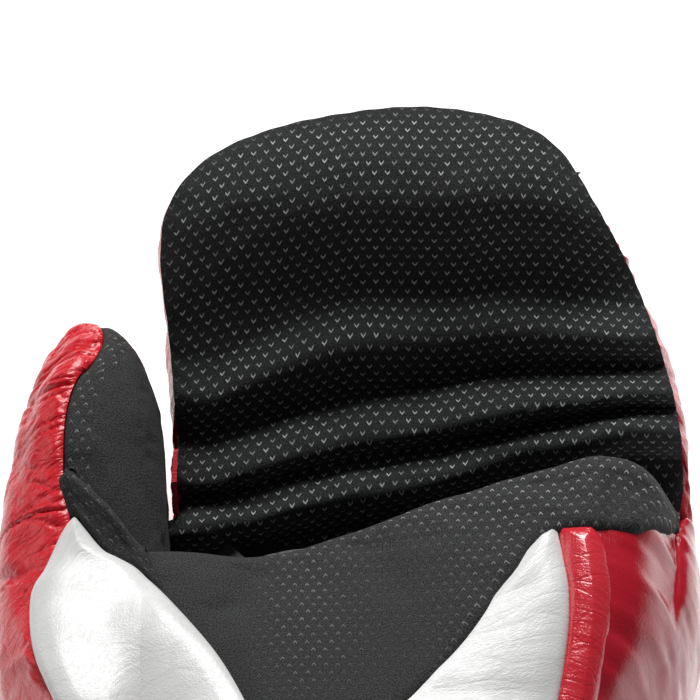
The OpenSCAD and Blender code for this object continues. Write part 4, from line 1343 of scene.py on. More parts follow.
    def clamp_under_face(self, points: Grid, below: float) -> Grid:
        """Keeps points at least so far under the folded face: their height over the face plane is held
        down."""
        y0, z0 = self.form.inner_face(0.0)
        dy = points[..., 1] - y0 - self.form.shift[1]
        dz = points[..., 2] - z0 - self.form.shift[2]
        q, h = (dy + dz) * math.sqrt(0.5), (dz - dy) * math.sqrt(0.5)
        mid = np.array(self.face.middle)
        reach = np.hypot((points[..., 0] - mid[0]) / 60, (q - mid[1]) / 55)
        limit = self.face.folds(points[..., 0], q) * (1 - 0.25 * reach**6)
        limit = limit - 8.5 * np.clip(reach, 0, 1.1)**7 - below
        left, right = self.widths(q)
        x = np.where(q > 20, np.clip(points[..., 0], left + 4.5, np.maximum(right - 5.5, left + 5)),
                     points[..., 0])
        return self.face.place(x, q, np.where((q > -14) & (h > limit), limit, h))

    def build_padding(self) -> None:
        """Two foam halves round the finger pocket, and the pocket's lining."""
        f = self.form
        k = np.sin(np.linspace(0, math.pi / 2, 46))[:, None] * 0.99998
        length, foam_in = f.finger_len - f.finger_pad - 4, -f.lining_t - f.layer_gap
        for name, start, node in (("knuckle_padding", 180.15, "knuckle_foam"),
                                  ("face_padding", 0.15, "finger_pad_foam")):
            t = np.linspace(start + 179.7, start, 60)[None, :]
            outer = self.bowl(k * (f.finger_len - self.tip_in - f.skin_t - 4.2), t, f.skin_t + 4.2)
            inner = f.finger_pocket(k * (length - foam_in), t, foam_in)
            outer, inner = self.clamp_under_face(outer, 2.2), self.clamp_under_face(inner, 3.2)
            quilt = 0.35 * wander(outer[..., 0], outer[..., 1], 12, 41)[..., None]
            piece = between(name, outer - grid_normals(outer) * (0.35 + quilt), inner)
            self.dress(piece, "foam", "foam", [node], "fingers", 0.95)
        t = np.linspace(0, 360, 72, endpoint=False)[None, :]
        kk = np.linspace(0, 0.9995, 40)[:, None]
        outer = self.clamp_under_face(f.finger_pocket(kk * (length + f.lining_t), t, -f.lining_t), 3.5)
        inner = self.clamp_under_face(f.finger_pocket(kk * length, t, 0.0), 4.7)
        uv = np.stack([arc_along(outer, 1), arc_along(outer, 0)], axis=2)
        piece = between("finger_pocket_lining", outer, inner, uv, wrap=True, cap=True)
        self.dress(piece, "lining", "lining", ["finger_lining"], "fingers")

    def build(self) -> None:
        """Builds every piece of the finger section."""
        self.build_face()
        self.build_shell()
        self.build_padding()


@dataclass
class HandSection(Assembly):
    """The hand: knit palm that rolls over the grip bar, white wing, bright strip, vinyl back and its
    pocket."""

    roll: float = 5.0

    def __post_init__(self) -> None:
        """Makes the palm top's surface."""
        self.top = PalmTop(self.form)

    def stations(self, line: Sequence[Sequence[float]], count: int,
                 corner: tuple[float, float]) -> tuple[Grid, Grid]:
        """A seam on the palm top given as (x, y) points, read as x and station u.

        Args:
            line: from the wrist forwards.
            count: how many points.
            corner: share of the rows, and the share of the seam they have used up by then.

        Returns:
            x and u along the seam.
        """
        pts = spline(line, 600)
        share = np.interp(np.linspace(0, 1, count), (0, corner[0], 1), (0, corner[1], 1)) * 599
        pts = np.stack([np.interp(share, np.arange(600), pts[:, i]) for i in (0, 1)], axis=1)
        start = self.form.wrist_y + self.form.shift[1]
        front = profile(pts[:, 0], self.top.across, self.top.front)
        return pts[:, 0], np.clip((pts[:, 1] - start) / (front - start), 0, 1)

    def panel(self, left: Sequence[Sequence[float]], right: Sequence[Sequence[float]], rows: int,
              cols: int, corner: tuple[float, float, float] = (0.5, 0.5, 0.5)) -> Grid:
        """Part of the palm top between two seams.

        Args:
            left: seam on the thumb side, (x, y) points from the wrist forwards.
            right: seam on the little-finger side.
            rows: along the seams.
            cols: across.
            corner: share of the rows, and the shares of the left and right seams they have used up by then.

        Returns:
            The points.
        """
        xl, ul = self.stations(left, rows, (corner[0], corner[1]))
        xr, ur = self.stations(right, rows, (corner[0], corner[2]))
        a = np.linspace(0, 1, cols)[None, :]
        return self.top.at(mix(xl[:, None], xr[:, None], a), mix(ul[:, None], ur[:, None], a))

    palm_left = ((-16, -69.6), (-22, -50), (-31, -30), (-40, -15), (-45.6, -6.3), (-48.4, -1), (-49.7, 4.9))
    palm_right = ((-10, -69.6), (5, -49), (20, -32), (33.2, -12.5), (41, -0.5), (46, 5.2), (50.5, 7.4),
                  (57, 7.9), (65, 8.6), (73, 14), (79.5, 28))
    wing_right = ((41, -69.6), (49, -45), (52.4, -25), (52.8, -12), (51.5, -3), (49.8, 6.6))
    strip_left = ((40.5, -69.6), (48.5, -45), (52, -25), (52.5, -12), (51.1, -3), (50.3, 6.4))
    strip_right = ((51, -69.6), (58, -45), (62.2, -25), (63.8, -12), (62.8, -3), (61.3, 3.0), (58.5, 6.2))

    def palm_grid(self, rows: int, cols: int) -> tuple[Grid, Grid, Grid]:
        """The knit part of the palm top, from its two seams forwards to the roll.

        Args:
            rows: from the seams to the roll.
            cols: across.

        Returns:
            The points, their stations u, and the seams' y at each column.
        """
        line = np.concatenate([spline(self.palm_left, 300)[::-1], spline(self.palm_right, 300)])
        x = np.linspace(line[0, 0], line[-1, 0], cols)
        seam = np.interp(x, np.maximum.accumulate(line[:, 0]), line[:, 1])
        start = self.form.wrist_y + self.form.shift[1]
        front = profile(x, self.top.across, self.top.front)
        first = np.clip((seam - start) / (front - start), 0, 0.985)
        u = mix(first[None], 1.0, np.linspace(0, 1, rows)[:, None])
        return self.top.at(np.broadcast_to(x, u.shape), u), u, seam

    def build_palm(self) -> None:
        """The palm's knit cloth: crowned, wrinkled towards the crease, rolled over in front and under
        at its seam."""
        rows, cols = 150, 190
        top, u, seam = self.palm_grid(rows, cols)
        edge = top[-1][None]
        turn = np.linspace(0, 90, 16)[1:, None] * DEG
        zero = np.zeros_like(turn[..., None])
        arc = np.concatenate([zero, self.roll * np.sin(turn)[..., None],
                              -self.roll * (1 - np.cos(turn))[..., None]], axis=2)
        down = np.linspace(0, 13, 12)[1:, None, None]
        drop = np.concatenate([0 * down, self.roll + 0.12 * down, -self.roll - down], axis=2)
        up = relaxed(grid_normals(top), 12)[4]
        out = np.cross(np.gradient(top[0], axis=0), up)
        out = out / np.linalg.norm(out, axis=1, keepdims=True)
        bend = np.linspace(140, 12, 12)[:, None, None] * DEG
        reach = (0.3 + 1.9 * ease((top[0, :, 0] + 22) / 12))[None, :, None]
        under = top[:1] + reach * (np.sin(bend) * out - (1 - np.cos(bend)) * up)
        base = np.concatenate([under, top, edge + arc, edge + drop])
        whole = self.top.at(np.broadcast_to(top[0, :, 0], (60, cols)), np.linspace(0, 1, 60)[:, None])[:, ::4]
        loose = finer(cloth_shape(whole, 0.012, 3.0, 1.0, 0.8), rows, cols)
        low = np.minimum((u * (rows - 1)).astype(int), rows - 2)
        column = np.arange(cols)[None]
        settled = mix(loose[low, column], loose[low + 1, column], u * (rows - 1) - low)
        settled = np.pad(settled, ((len(under), len(arc) + len(drop)), (0, 0)), "edge")
        x, v = base[..., 0], arc_along(base[..., 1:], 0)
        v = v - v[len(under)] + 1.02 * (seam - seam.min())
        left = 1 - ease((x + 22) / 12)
        d = 0.42 * edge_distance(base, "b") + 40 * (1 - left)
        ahead = ease((v - 40) / 40)
        height = 1.1 + settled * ease(d / 8) + 0.35 * wander(x, v, 22, 51, 2)
        height = height + 0.30 * ahead * wander(x / 3.5, v, 5, 52, 3) + seam_dip(d, 1.3, 1.4)
        piece = skin("palm_cloth", base, height, 1.6, np.stack([x, v], axis=2), calm=12)
        shown = ease((x + 28) / 22) * ease((v - 20) / 25)
        centre = 1 - 0.92 * bump(x, 12, 26) * ease((86 - v) / 12)
        lobe = 1 - 0.75 * ease((x - 52) / 14) * ease((93 - v) / 10)
        self.marks(piece, shown * centre * lobe)
        self.dress(piece, "knit_up", "knit_mesh", ["palm_panel"], "hand", 0.7)

    def build_gusset(self) -> None:
        """Cloth that runs down from the palm's roll and across the crease to the fingers."""
        a = np.linspace(0, 1, 90)
        x = mix(-54, 78, a)
        y0 = profile(x, self.top.across, self.top.front) + self.roll + 1.2
        z0 = profile(x, self.top.across, self.top.height) - self.roll - 9
        start = np.stack([x, y0, z0], axis=1)
        fy, fz = self.form.inner_face(0.0)
        xf = mix(-46, 77, a)
        q = -9.0 + 0.16 * (xf + 39) * 0.4
        h = np.full_like(xf, -17.5)
        c = math.sqrt(0.5)
        end = np.stack([xf, fy + self.form.shift[1] + (q - h) * c, fz + self.form.shift[2] + (q + h) * c],
                       axis=1)
        low = np.minimum(start[:, 2], end[:, 2]) - 4
        k = np.linspace(0, 1, 30)[:, None, None]
        sag = np.zeros((30, 90, 3))
        deep = np.minimum(low - (start[:, 2] + end[:, 2]) / 2, -2.0)[None]
        sag[..., 2] = deep * 4 * (k * (1 - k))[..., 0]
        base = mix(start[None], end[None], k) + sag * 0.6
        pleat = 0.5 * wander(base[..., 0] / 3, k[..., 0] * 14, 4, 61)
        piece = skin("crease_gusset_cloth", base, pleat, 1.0)
        self.marks(piece, np.zeros(base.shape[:2]))
        self.dress(piece, "knit_up", "knit_mesh", ["crease_gusset"], None)
        self.sheet(piece, base, ["palm_cloth", "finger_face_cloth"])
        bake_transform(piece)

    def build_side(self) -> None:
        """White wing and bright crinkled strip, each puffed between its seams."""
        for name, left, right, lift, finish, slot, node, puff in (
                ("right_wing_vinyl", self.palm_right[:6], self.wing_right, 0.9, "white_vinyl", "white_vinyl",
                 "wrist_wing_right", 0.5),
                ("side_strip_vinyl", self.strip_left, self.strip_right, 0.5, "red_strip", "red_strip",
                 "side_strip", 1.1)):
            base = self.panel(left, right, 130, 60)
            d = edge_distance(base, "lrt")
            v, x = arc_along(base, 0), base[..., 0]
            height = (lift + puff * ease(d / 7) + seam_dip(d, 1.5, 1.0)
                      + 0.22 * wander(x / 2, v, 11, 71, 2) * ease(d / 3))
            piece = skin(name, base, height, 1.5)
            self.dress(piece, finish, slot, [node], "hand")

    def build_back(self) -> None:
        """The vinyl back: from the bright strip round under the hand to the thumb side."""
        u = np.linspace(0, 1, 150)[:, None]
        start = profile(u[:, 0], (0, 0.4, 0.78, 1.0), (42, 52, 62, 66))[:, None]
        end = profile(u[:, 0], (0, 0.6, 1.0), (150, 153, 168))[:, None]
        t = mix(360 + start, end, np.linspace(0, 1, 240)[None, :])
        base = self.top.side(u, t)
        d, along, across = edge_distance(base, "b"), arc_along(base, 0), arc_along(base, 1)
        front = edge_distance(base, "t")
        rest = ease((base[..., 2] - 0.3) / 6)
        height = rest * (0.8 * wander(across / 2.5, along, 11, 81, 3) + seam_dip(d, 1.5, 1.5)
                         + seam_dip(front, 1.2, 1.2) + 0.8 * np.sin(along / 0.9) * np.exp(-front / 6) * 0.3)
        piece = skin("hand_back_vinyl", base, height, 1.6)
        self.dress(piece, "red_smooth", "red_vinyl", ["hand_back_shell"], "hand", 0.9)

    def foam(self, name: str, node: str, rows: Grid, start: float) -> None:
        """Half of the padding round the hand pocket.

        Args:
            name: the piece's name.
            node: the CAD node it stands for.
            rows: stations along the hand.
            start: ring angle of its first side.
        """
        f = self.form
        t = np.linspace(start + 179.7, start, 72)[None, :]
        outer, inner = f.hand(rows, t, f.skin_t + 0.3), f.hand_pocket(rows, t, -f.lining_t - f.layer_gap)
        outer = outer - grid_normals(outer) * (0.4 * wander(outer[..., 0], outer[..., 1], 14, 91)
                                               + 0.3)[..., None]
        if start < 90:
            cover = self.top.at(outer[..., 0], np.broadcast_to(rows, outer.shape[:2]))[..., 2]
            outer[..., 2] = np.minimum(outer[..., 2], np.maximum(cover - 2.4, inner[..., 2] + 0.8))
        self.dress(between(name, outer, inner), "foam", "foam", [node], "hand", 0.95)

    def build_padding(self) -> None:
        """Foam under the palm and over the back, the firm grip bar and the pocket's lining."""
        f = self.form
        bar = 1 - 16.0 / (f.axis_y - f.wrist_y)
        self.foam("palm_padding", "palm_foam", np.linspace(0, bar - 0.004, 40)[:, None], 0.15)
        self.foam("back_padding", "hand_back_foam", np.linspace(0, 1, 48)[:, None], 180.15)
        self.foam("grip_bar_roll", "grip_bar", np.linspace(bar, 1, 14)[:, None], 0.15)
        u, t = np.linspace(0, 1, 44)[:, None], np.linspace(0, 360, 84, endpoint=False)[None, :]
        outer, inner = f.hand_pocket(u, t, -f.lining_t), f.hand_pocket(u, t, 0.0)
        uv = np.stack([arc_along(outer, 1), arc_along(outer, 0)], axis=2)
        piece = between("hand_pocket_lining", outer, inner, uv, wrap=True)
        self.dress(piece, "lining", "lining", ["hand_lining"], "hand")

    def build(self) -> None:
        """Builds every piece of the hand section."""
        self.build_palm()
        self.build_gusset()
        self.build_side()
        self.build_back()
        self.build_padding()


@dataclass
class ThumbSection(Assembly):
    """The thumb and its base: one gathered vinyl cover, knit inner side, web, left wing, padding and
    pocket."""

    def __post_init__(self) -> None:
        """Makes the palm top that the wing and the web run on to."""
        self.top = PalmTop(self.form)

    def length_rows(self, base_from: float, base_rows: int, thumb_rows: int, start: ArrayLike, end: ArrayLike,
                    cols: int, o: float = 0.0) -> tuple[Grid, Grid]:
        """One surface over base and thumb: their rings in a row, with the bend at the hinge rounded off.

        Args:
            base_from: station on the base where it begins.
            base_rows: rows on the base.
            thumb_rows: rows on the thumb.
            start: ring angle of the first column, one for each row.
            end: ring angle of the last column, one for each row.
            cols: across.
            o: depth under the surface.

        Returns:
            The points, and the station of each row: under 0 on the base, 0 to 1 on the thumb.
        """
        u = np.linspace(base_from, 0.985, base_rows)
        k = np.sin(np.linspace(0.02, 1, thumb_rows) * math.pi / 2) * 0.99995
        k = np.linspace(0.015, 1, thumb_rows) * 0.35 + k * 0.65
        k[-1] = 0.99995
        a = np.linspace(0, 1, cols)[None, :]
        t = mix(np.asarray(start)[:, None], np.asarray(end)[:, None], a)
        grid = np.concatenate([self.form.thumb_base(u[:, None], t[:base_rows], o),
                               self.form.thumb(k[:, None], t[base_rows:], o)])
        lo, hi = max(1, base_rows - 9), base_rows + 9
        for _ in range(30):
            grid[lo:hi] = grid[lo:hi] * 0.5 + 0.25 * (grid[lo - 1:hi - 1] + grid[lo + 1:hi + 1])
        return grid, np.concatenate([u - 1.0, k])

    @staticmethod
    def seam(station: Grid) -> Grid:
        """Ring angle of the seam between vinyl and knit: near the top, crossing over towards the tip."""
        return profile(station, (-1.0, -0.2, 0.0, 0.35, 0.75, 1.0), (96, 92, 91.5, 99, 89, 60))

    def build_cover(self) -> None:
        """Red vinyl from the thumb's seam round its outside and back; gathered across, finest at the seam."""
        rows_b, rows_t, cols = 90, 170, 150
        station = self.length_rows(0.0, rows_b, rows_t, np.zeros(260), np.ones(260), 3)[1]
        seam = self.seam(station)
        base, station = self.length_rows(0.0, rows_b, rows_t, np.full(260, 322.0), seam + 0.4, cols)
        small, _ = self.length_rows(0.0, 24, 46, np.full(70, 322.0),
                                    finer(seam[:, None] * [1, 1], 70, 2)[:, 0], 36)
        settled = finer(cloth_shape(small, 0.02, 2.5, 0.8, 0.35), 260, cols)
        along, to_seam = arc_along(base, 0), edge_distance(base, "r")
        ring = arc_along(base, 1)
        lean = along - 0.32 * to_seam + 2.0 * wander(to_seam / 2, along, 14, 101, 2)
        tight = np.exp(-to_seam / 12)
        on_thumb = ease((station[:, None] + 0.25) / 0.3)
        creases = -np.exp(-np.abs(wander(to_seam / 9, lean, 7.0, 102, 2)) / 0.10)
        fine = -np.exp(-np.abs(wander(to_seam / 5, lean, 3.4, 103, 2)) / 0.14)
        wide = wander(to_seam / 3, lean, 13, 104, 2)
        lean_in = (1.2 + 2.4 * ease((station[:, None] - 0.2) / 0.5)) * ease((to_seam - 2) / 16)
        lean_in = lean_in + 7.0 * (1 - ease((station[:, None] + 1.0) / 0.3))
        height = (settled + (1.25 * creases + 0.6 * fine * (0.35 + tight)) * ease(to_seam / 1.5) * on_thumb
                  + 0.7 * wide * (1 - 0.6 * tight) + seam_dip(to_seam, 1.0, 1.0) + 0.5 - lean_in)
        back = ease((edge_distance(base, "b")) / 4)
        piece = skin("thumb_cover_vinyl", base, height * (0.3 + 0.7 * back), 1.5,
                     np.stack([ring, along], axis=2))
        self.dress(piece, "red_vinyl", "red_vinyl", ["thumb_shell", "thumb_base_shell"], None, 0.85)
        self.bend(piece)

    def bend(self, piece: bpy.types.Object) -> None:
        """Bakes a piece's place into its mesh."""
        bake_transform(piece)

    def build_inner(self) -> None:
        """Knit side of the thumb that faces the hand, padded, with a soft hollow behind the web."""
        rows_b, rows_t, cols = 26, 120, 110
        station = self.length_rows(0.5, rows_b, rows_t, np.zeros(146), np.ones(146), 3)[1]
        base, station = self.length_rows(0.5, rows_b, rows_t, self.seam(station) - 0.4,
                                         np.full(146, -38.0), cols)
        small, _ = self.length_rows(0.5, 8, 34, finer(self.seam(station)[:, None] * [1, 1], 42, 2)[:, 0],
                                    np.full(42, -38.0), 30)
        settled = finer(cloth_shape(small, 0.01, 2.5, 0.4, 0.9), 146, cols)
        d, along = edge_distance(base, "lr"), arc_along(base, 0)
        a, b = np.array([-70.0, 25.0]), np.array([-49.7, 5.2])
        way = (b - a) / np.linalg.norm(b - a)
        off = (base[..., 0] - a[0]) * -way[1] + (base[..., 1] - a[1]) * way[0]
        crease = -2.4 * np.where(off > 0, np.exp(-off / 3.5), 1.0) * ease((base[..., 2] - 55) / 10)
        height = (0.5 + settled + 0.22 * wander(arc_along(base, 1), along, 9, 111, 3) + crease
                  + seam_dip(d, 1.0, 1.1))
        piece = skin("thumb_inner_cloth", base, height, 1.5, np.stack([-arc_along(base, 1), along], axis=2))
        first = edge_distance(base, "l")
        self.marks(piece, 0.55 * ease((7.5 - first) / 2) * ease((off + 1) / 3) * ease(first / 1.5))
        self.dress(piece, "knit_up", "knit_mesh", ["thumb_inner_panel"], None, 0.8)
        self.bend(piece)

    def land(self, x: Grid, y: Grid) -> Grid:
        """Height of the left side's top: the base's and the thumb's ridge line with the ring's fall to
        the left,
        joined softly to the palm top on the right."""
        ridge = profile(y, (-70, -60, -30, -5, 5, 15, 30, 50),
                        (60.4, 61.8, 65.5, 68.6, 70.3, 74.4, 81.3, 90.6))
        c = np.clip((x + 64.6) / 21.5, -0.985, 0.985)
        fall = 22 * (1 - (1 - np.abs(c) ** 2.7) ** (1 / 2.7))
        ahead = ease((y - 2) / 8)
        z = ridge - fall * np.where(c < 0, 1.0, ahead)
        start = self.form.wrist_y + self.form.shift[1]
        u = np.clip((y - start) / (profile(x, self.top.across, self.top.front) - start), 0, 1)
        own = self.top.at(x, u)[..., 2]
        z = mix(z, own, ease((x + 60) / 15) * (1 - ahead))
        return mix(own, z, ease((y - start) / 34))

    def over(self, left: Sequence[Sequence[float]], right: Sequence[Sequence[float]], rows: int,
             cols: int) -> Grid:
        """Part of the left side's top between two lines of (x, y) points."""
        a = np.linspace(0, 1, cols)[None, :, None]
        xy = mix(spline(left, rows)[:, None], spline(right, rows)[:, None], a)
        return np.concatenate([xy, self.land(xy[..., 0], xy[..., 1])[..., None]], axis=2)

    wing_left = ((-45, -69.4), (-62, -54), (-75, -27), (-77.4, -6.3), (-73.8, 2.5), (-70.6, 9.5),
                 (-68.9, 12.4),
                 (-67.2, 14.4))
    wing_inner = ((-13, -69.4), (-21, -50), (-30, -30), (-39.5, -15), (-45.2, -6.3), (-48.4, -2),
                  (-51.6, 2.0),
                  (-55.5, 4.5), (-59.1, 6.3), (-61.5, 8.6), (-63.5, 11), (-66.2, 14.2))

    def build_wing(self) -> None:
        """White vinyl wing that comes to a point on the thumb's root; soft dents, a seam dip all round."""
        base = self.over(self.wing_left, self.wing_inner, 150, 90)
        d = edge_distance(base, "lr")
        x, y = base[..., 0], base[..., 1]
        height = 1.5 + 0.9 * ease(d / 6) + seam_dip(d, 1.5, 1.0)
        height = height + 0.35 * wander(x / 1.6, y, 16, 121, 2) * ease(d / 4)
        piece = skin("left_wing_vinyl", base, height, 1.5)
        self.dress(piece, "white_vinyl", "white_vinyl", ["wrist_wing_left"], None)
        self.bend(piece)

    def build_web(self) -> None:
        """Knit web from palm to thumb: it climbs from the wing's seam to a rolled edge that stands off
        the thumb."""
        low = spline(((-69.8, 14.6), (-66.6, 14.2), (-63.5, 11), (-59.1, 6.3), (-55.5, 4.5), (-51.6, 2.0),
                      (-45.2, -6.3)), 90)
        high = spline(((-71.6, 24.4), (-64.5, 18.6), (-57.5, 12.2), (-49.4, 4.6)), 90)
        k = np.linspace(0, 1, 50)[:, None]
        xy = mix(low[None], high[None], k[..., None])
        lift = mix(-1.8, 1.0 + 2.2 * k**1.5, ease(np.linspace(0, 1, 90) / 0.14)[None, :])
        flat = np.concatenate([xy, (self.land(xy[..., 0], xy[..., 1]) + lift)[..., None]], axis=2)
        ahead = flat[-1] - flat[-2]
        ahead /= np.linalg.norm(ahead, axis=1, keepdims=True)
        side = np.gradient(flat[-1], axis=0)
        up = np.cross(side, ahead)
        up /= np.linalg.norm(up, axis=1, keepdims=True)
        turn = np.linspace(8, 165, 16)[:, None, None] * DEG
        radius = 1.9
        roll = flat[-1][None] + radius * (np.sin(turn) * ahead[None] - (1 - np.cos(turn)) * up[None])
        base = np.concatenate([flat, roll])
        d = edge_distance(base, "b")
        x, v = base[..., 0], arc_along(base, 0)
        height = seam_dip(d, 0.8, 1.0) + 0.25 * wander(x, v, 6, 131, 3)
        piece = skin("thumb_web_cloth", base, height, 1.1, np.stack([x, v], axis=2))
        self.marks(piece, 0.35 * ease(d / 3) * np.ones_like(x))
        self.dress(piece, "knit_up", "knit_mesh", ["thumb_web"], None)
        self.sheet(piece, base, ["thumb_inner_cloth", "palm_cloth"])
        self.bend(piece)

    def build_padding(self) -> None:
        """Foam round the thumb pocket, foam of the base and the pocket's lining."""
        f = self.form
        t = np.linspace(360, 0, 72, endpoint=False)[None, :]
        k = np.sin(np.linspace(0, math.pi / 2, 44))[:, None] * 0.9995
        outer, inner = f.thumb(k, t, f.skin_t + 4.6), f.thumb_pocket(k, t, -f.lining_t - f.layer_gap)
        piece = between("thumb_padding", outer, inner, wrap=True, cap=True)
        self.dress(piece, "foam", "foam", ["thumb_foam"], "thumb", 0.9)
        u = np.linspace(0, 0.985, 40)[:, None]
        outer = f.thumb_base(u, t, f.skin_t + 4.6)
        centre = outer.mean(axis=1, keepdims=True)
        hollow = np.clip(f.thumb_pocket_r + 1.8, 0, 14)
        inner = centre + (outer - centre) / np.maximum(np.linalg.norm(outer - centre, axis=2,
                                                                      keepdims=True), 1) * (
            hollow * ease((u[..., None] - 0.35) / 0.3) + 1.0)
        piece = between("thumb_base_padding", outer, inner, wrap=True, cap=False)
        self.dress(piece, "foam", "foam", ["thumb_base_foam"], "hand", 0.9)
        kk = np.linspace(0, 0.97, 40)[:, None]
        outer, inner = f.thumb_pocket(kk, t, -f.lining_t), f.thumb_pocket(kk, t, 0.0)
        uv = np.stack([arc_along(outer, 1), arc_along(outer, 0)], axis=2)
        piece = between("thumb_pocket_lining", outer, inner, uv, wrap=True, cap=True)
        self.dress(piece, "lining", "lining", ["thumb_lining"], "thumb")

    def build_tie(self) -> None:
        """Short vinyl tie at the thumb's side, bulged and creased."""
        low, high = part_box("thumb_tether")
        low, high = np.array(low) / MM, np.array(high) / MM
        y0, y1 = mix(low[1], high[1], 0.22), mix(low[1], high[1], 0.64)
        y, z = np.meshgrid(np.linspace(y0, y1, 60), np.linspace(low[2], high[2], 40), indexing="ij")
        across = (z - low[2]) / (high[2] - low[2]) * 2 - 1
        x = high[0] - 1.6 + 0.5 * (1 - across**2) + 0 * y
        lean = math.tan(self.form.thumb_tilt * DEG)
        z = low[2] + 2 + (z - low[2]) * 0.62 + (y - low[1]) * lean * 0.6
        base = np.stack([x, y, z], axis=2)
        height = 0.35 * wander(y / 1.4, z, 3, 141, 3) - 0.4 * np.abs(across) ** 6
        piece = skin("thumb_tie_vinyl", base, height, 1.2)
        self.dress(piece, "red_smooth", "red_vinyl", ["thumb_tether"], "thumb")

    def build(self) -> None:
        """Builds every piece of the thumb and its base."""
        self.build_cover()
        self.build_inner()
        self.build_wing()
        self.build_web()
        self.build_padding()
        self.build_tie()


@dataclass
class Cuff(Assembly):
    """The cuff: vinyl cover with a knit tongue, padding, lining, bound mouth and the strap's root and
    loops."""

    tongue: tuple[float, float] = (73.0, 107.0)

    def patch(self, v0: float, v1: float, t0: float, t1: float, o: float, rows: int, cols: int) -> Grid:
        """Part of the cuff's surface, its rows running back and its ring angle rising."""
        return self.form.cuff(np.linspace(v0, v1, rows)[:, None], np.linspace(t0, t1, cols)[None, :], o)

    def build_shell(self) -> None:
        """Vinyl cover, gathered at the wrist seam and softly dented over its padding."""
        base = self.patch(0, 1, self.tongue[1] + 0.3, 359.7 + self.tongue[0], 0, 90, 300)
        d, sides = edge_distance(base, "b"), edge_distance(base, "lr")
        along, across = arc_along(base, 0), arc_along(base, 1)
        rest = ease((base[..., 2] - 0.4) / 5)
        height = rest * (0.8 * np.sin(2 * math.pi * (across / 6 + 0.4 * wander(across, along, 15, 151, 2)))
                         * np.exp(-d / 7) * ease(d / 1.5) + 0.45 * wander(across, along / 2, 12, 152, 3)
                         + seam_dip(np.minimum(d, sides), 1.3, 1.3))
        piece = skin("cuff_vinyl", base, height, 1.6)
        self.dress(piece, "red_vinyl", "red_vinyl", ["cuff_shell"], "hand", 0.8)
        for side, angle in (("left", self.tongue[1] + 3.2), ("right", self.tongue[0] - 3.2)):
            line = self.form.cuff(np.linspace(0.02, 0.98, 60), angle, -0.1)
            up = np.tile([0.0, 0.0, 1.0], (60, 1))
            self.dress(stitches(f"tongue_stitching_{side}", line, up), "thread", "red_vinyl", body="hand")

    def build_tongue(self) -> None:
        """Knit tongue on the palm side, under the strap."""
        base = self.patch(0, 1, *self.tongue, 0, 80, 60)
        along, across = arc_along(base, 0), arc_along(base, 1)
        d = edge_distance(base, "lrb")
        height = 0.2 + 0.3 * wander(across, along / 2, 8, 161, 3) + seam_dip(d, 1.2, 1.2)
        piece = skin("cuff_tongue_cloth", base, height, 1.5, np.stack([across, -along], axis=2))
        self.marks(piece, ease(d / 2))
        self.dress(piece, "knit_up", "knit_mesh", ["cuff_tongue"], "hand")
        self.sheet(piece, base, ["cuff_padding"])

    def build_inside(self) -> None:
        """Padding, lining and the folded tape that binds the mouth."""
        f = self.form
        wall = f.cuff_wall()
        t = np.linspace(0, 360, 120, endpoint=False)[None, :]
        v = np.linspace(0, 1, 40)[:, None]
        piece = between("cuff_padding", f.cuff(v, t, f.skin_t + 0.2), f.cuff(v, t, f.skin_t + f.cuff_pad),
                        wrap=True)
        self.dress(piece, "foam", "foam", ["cuff_foam"], "hand", 0.9)
        outer = f.cuff(v, t, f.skin_t + f.cuff_pad + f.layer_gap)
        inner = f.cuff(v, t, wall)
        dent = 0.25 * wander(inner[..., 0], inner[..., 1], 10, 171)[..., None]
        uv = np.stack([arc_along(outer, 1), arc_along(outer, 0)], axis=2)
        piece = between("cuff_lining_cloth", outer, inner + grid_normals(inner) * dent, uv, wrap=True)
        self.dress(piece, "lining", "lining", ["cuff_lining"], "hand")
        turn = np.linspace(0, 180, 24)
        half = wall / 2 + 0.7
        depth = np.concatenate([[-0.7, -0.75], half - 0.7 - half * np.cos(turn * DEG),
                                [wall + 0.75, wall + 0.7]])
        back = np.concatenate([[5.0, 2.5], -f.binding_t * 0.95 * np.sin(turn * DEG), [2.5, 5.0]])
        ring = np.concatenate([f.cuff(1.0, t, float(o)) for o in depth]).reshape(len(depth), -1, 3)
        ring[..., 1] += back[:, None]
        across = arc_along(ring, 1)
        pull = 0.22 * np.sin(2 * math.pi * across / 3.4) * np.exp(-np.abs(np.arange(len(depth)) - 1.5)
                                                                  / 2)[:, None]
        uv = np.stack([across, arc_along(ring, 0)], axis=2)
        piece = skin("mouth_binding", ring, pull, 0.9, uv, wrap=True)
        self.dress(piece, "binding", "binding", ["cuff_binding"], "hand")
        line = f.cuff(1.0, np.linspace(0, 360, 240), -0.95)
        line[:, 1] += 2.6
        centre = line.mean(axis=0)
        self.dress(stitches("binding_stitching", line, line - centre), "thread_black", "binding", body="hand")

    def build(self) -> None:
        """Builds every piece of the cuff."""
        self.build_shell()
        self.build_tongue()
        self.build_inside()


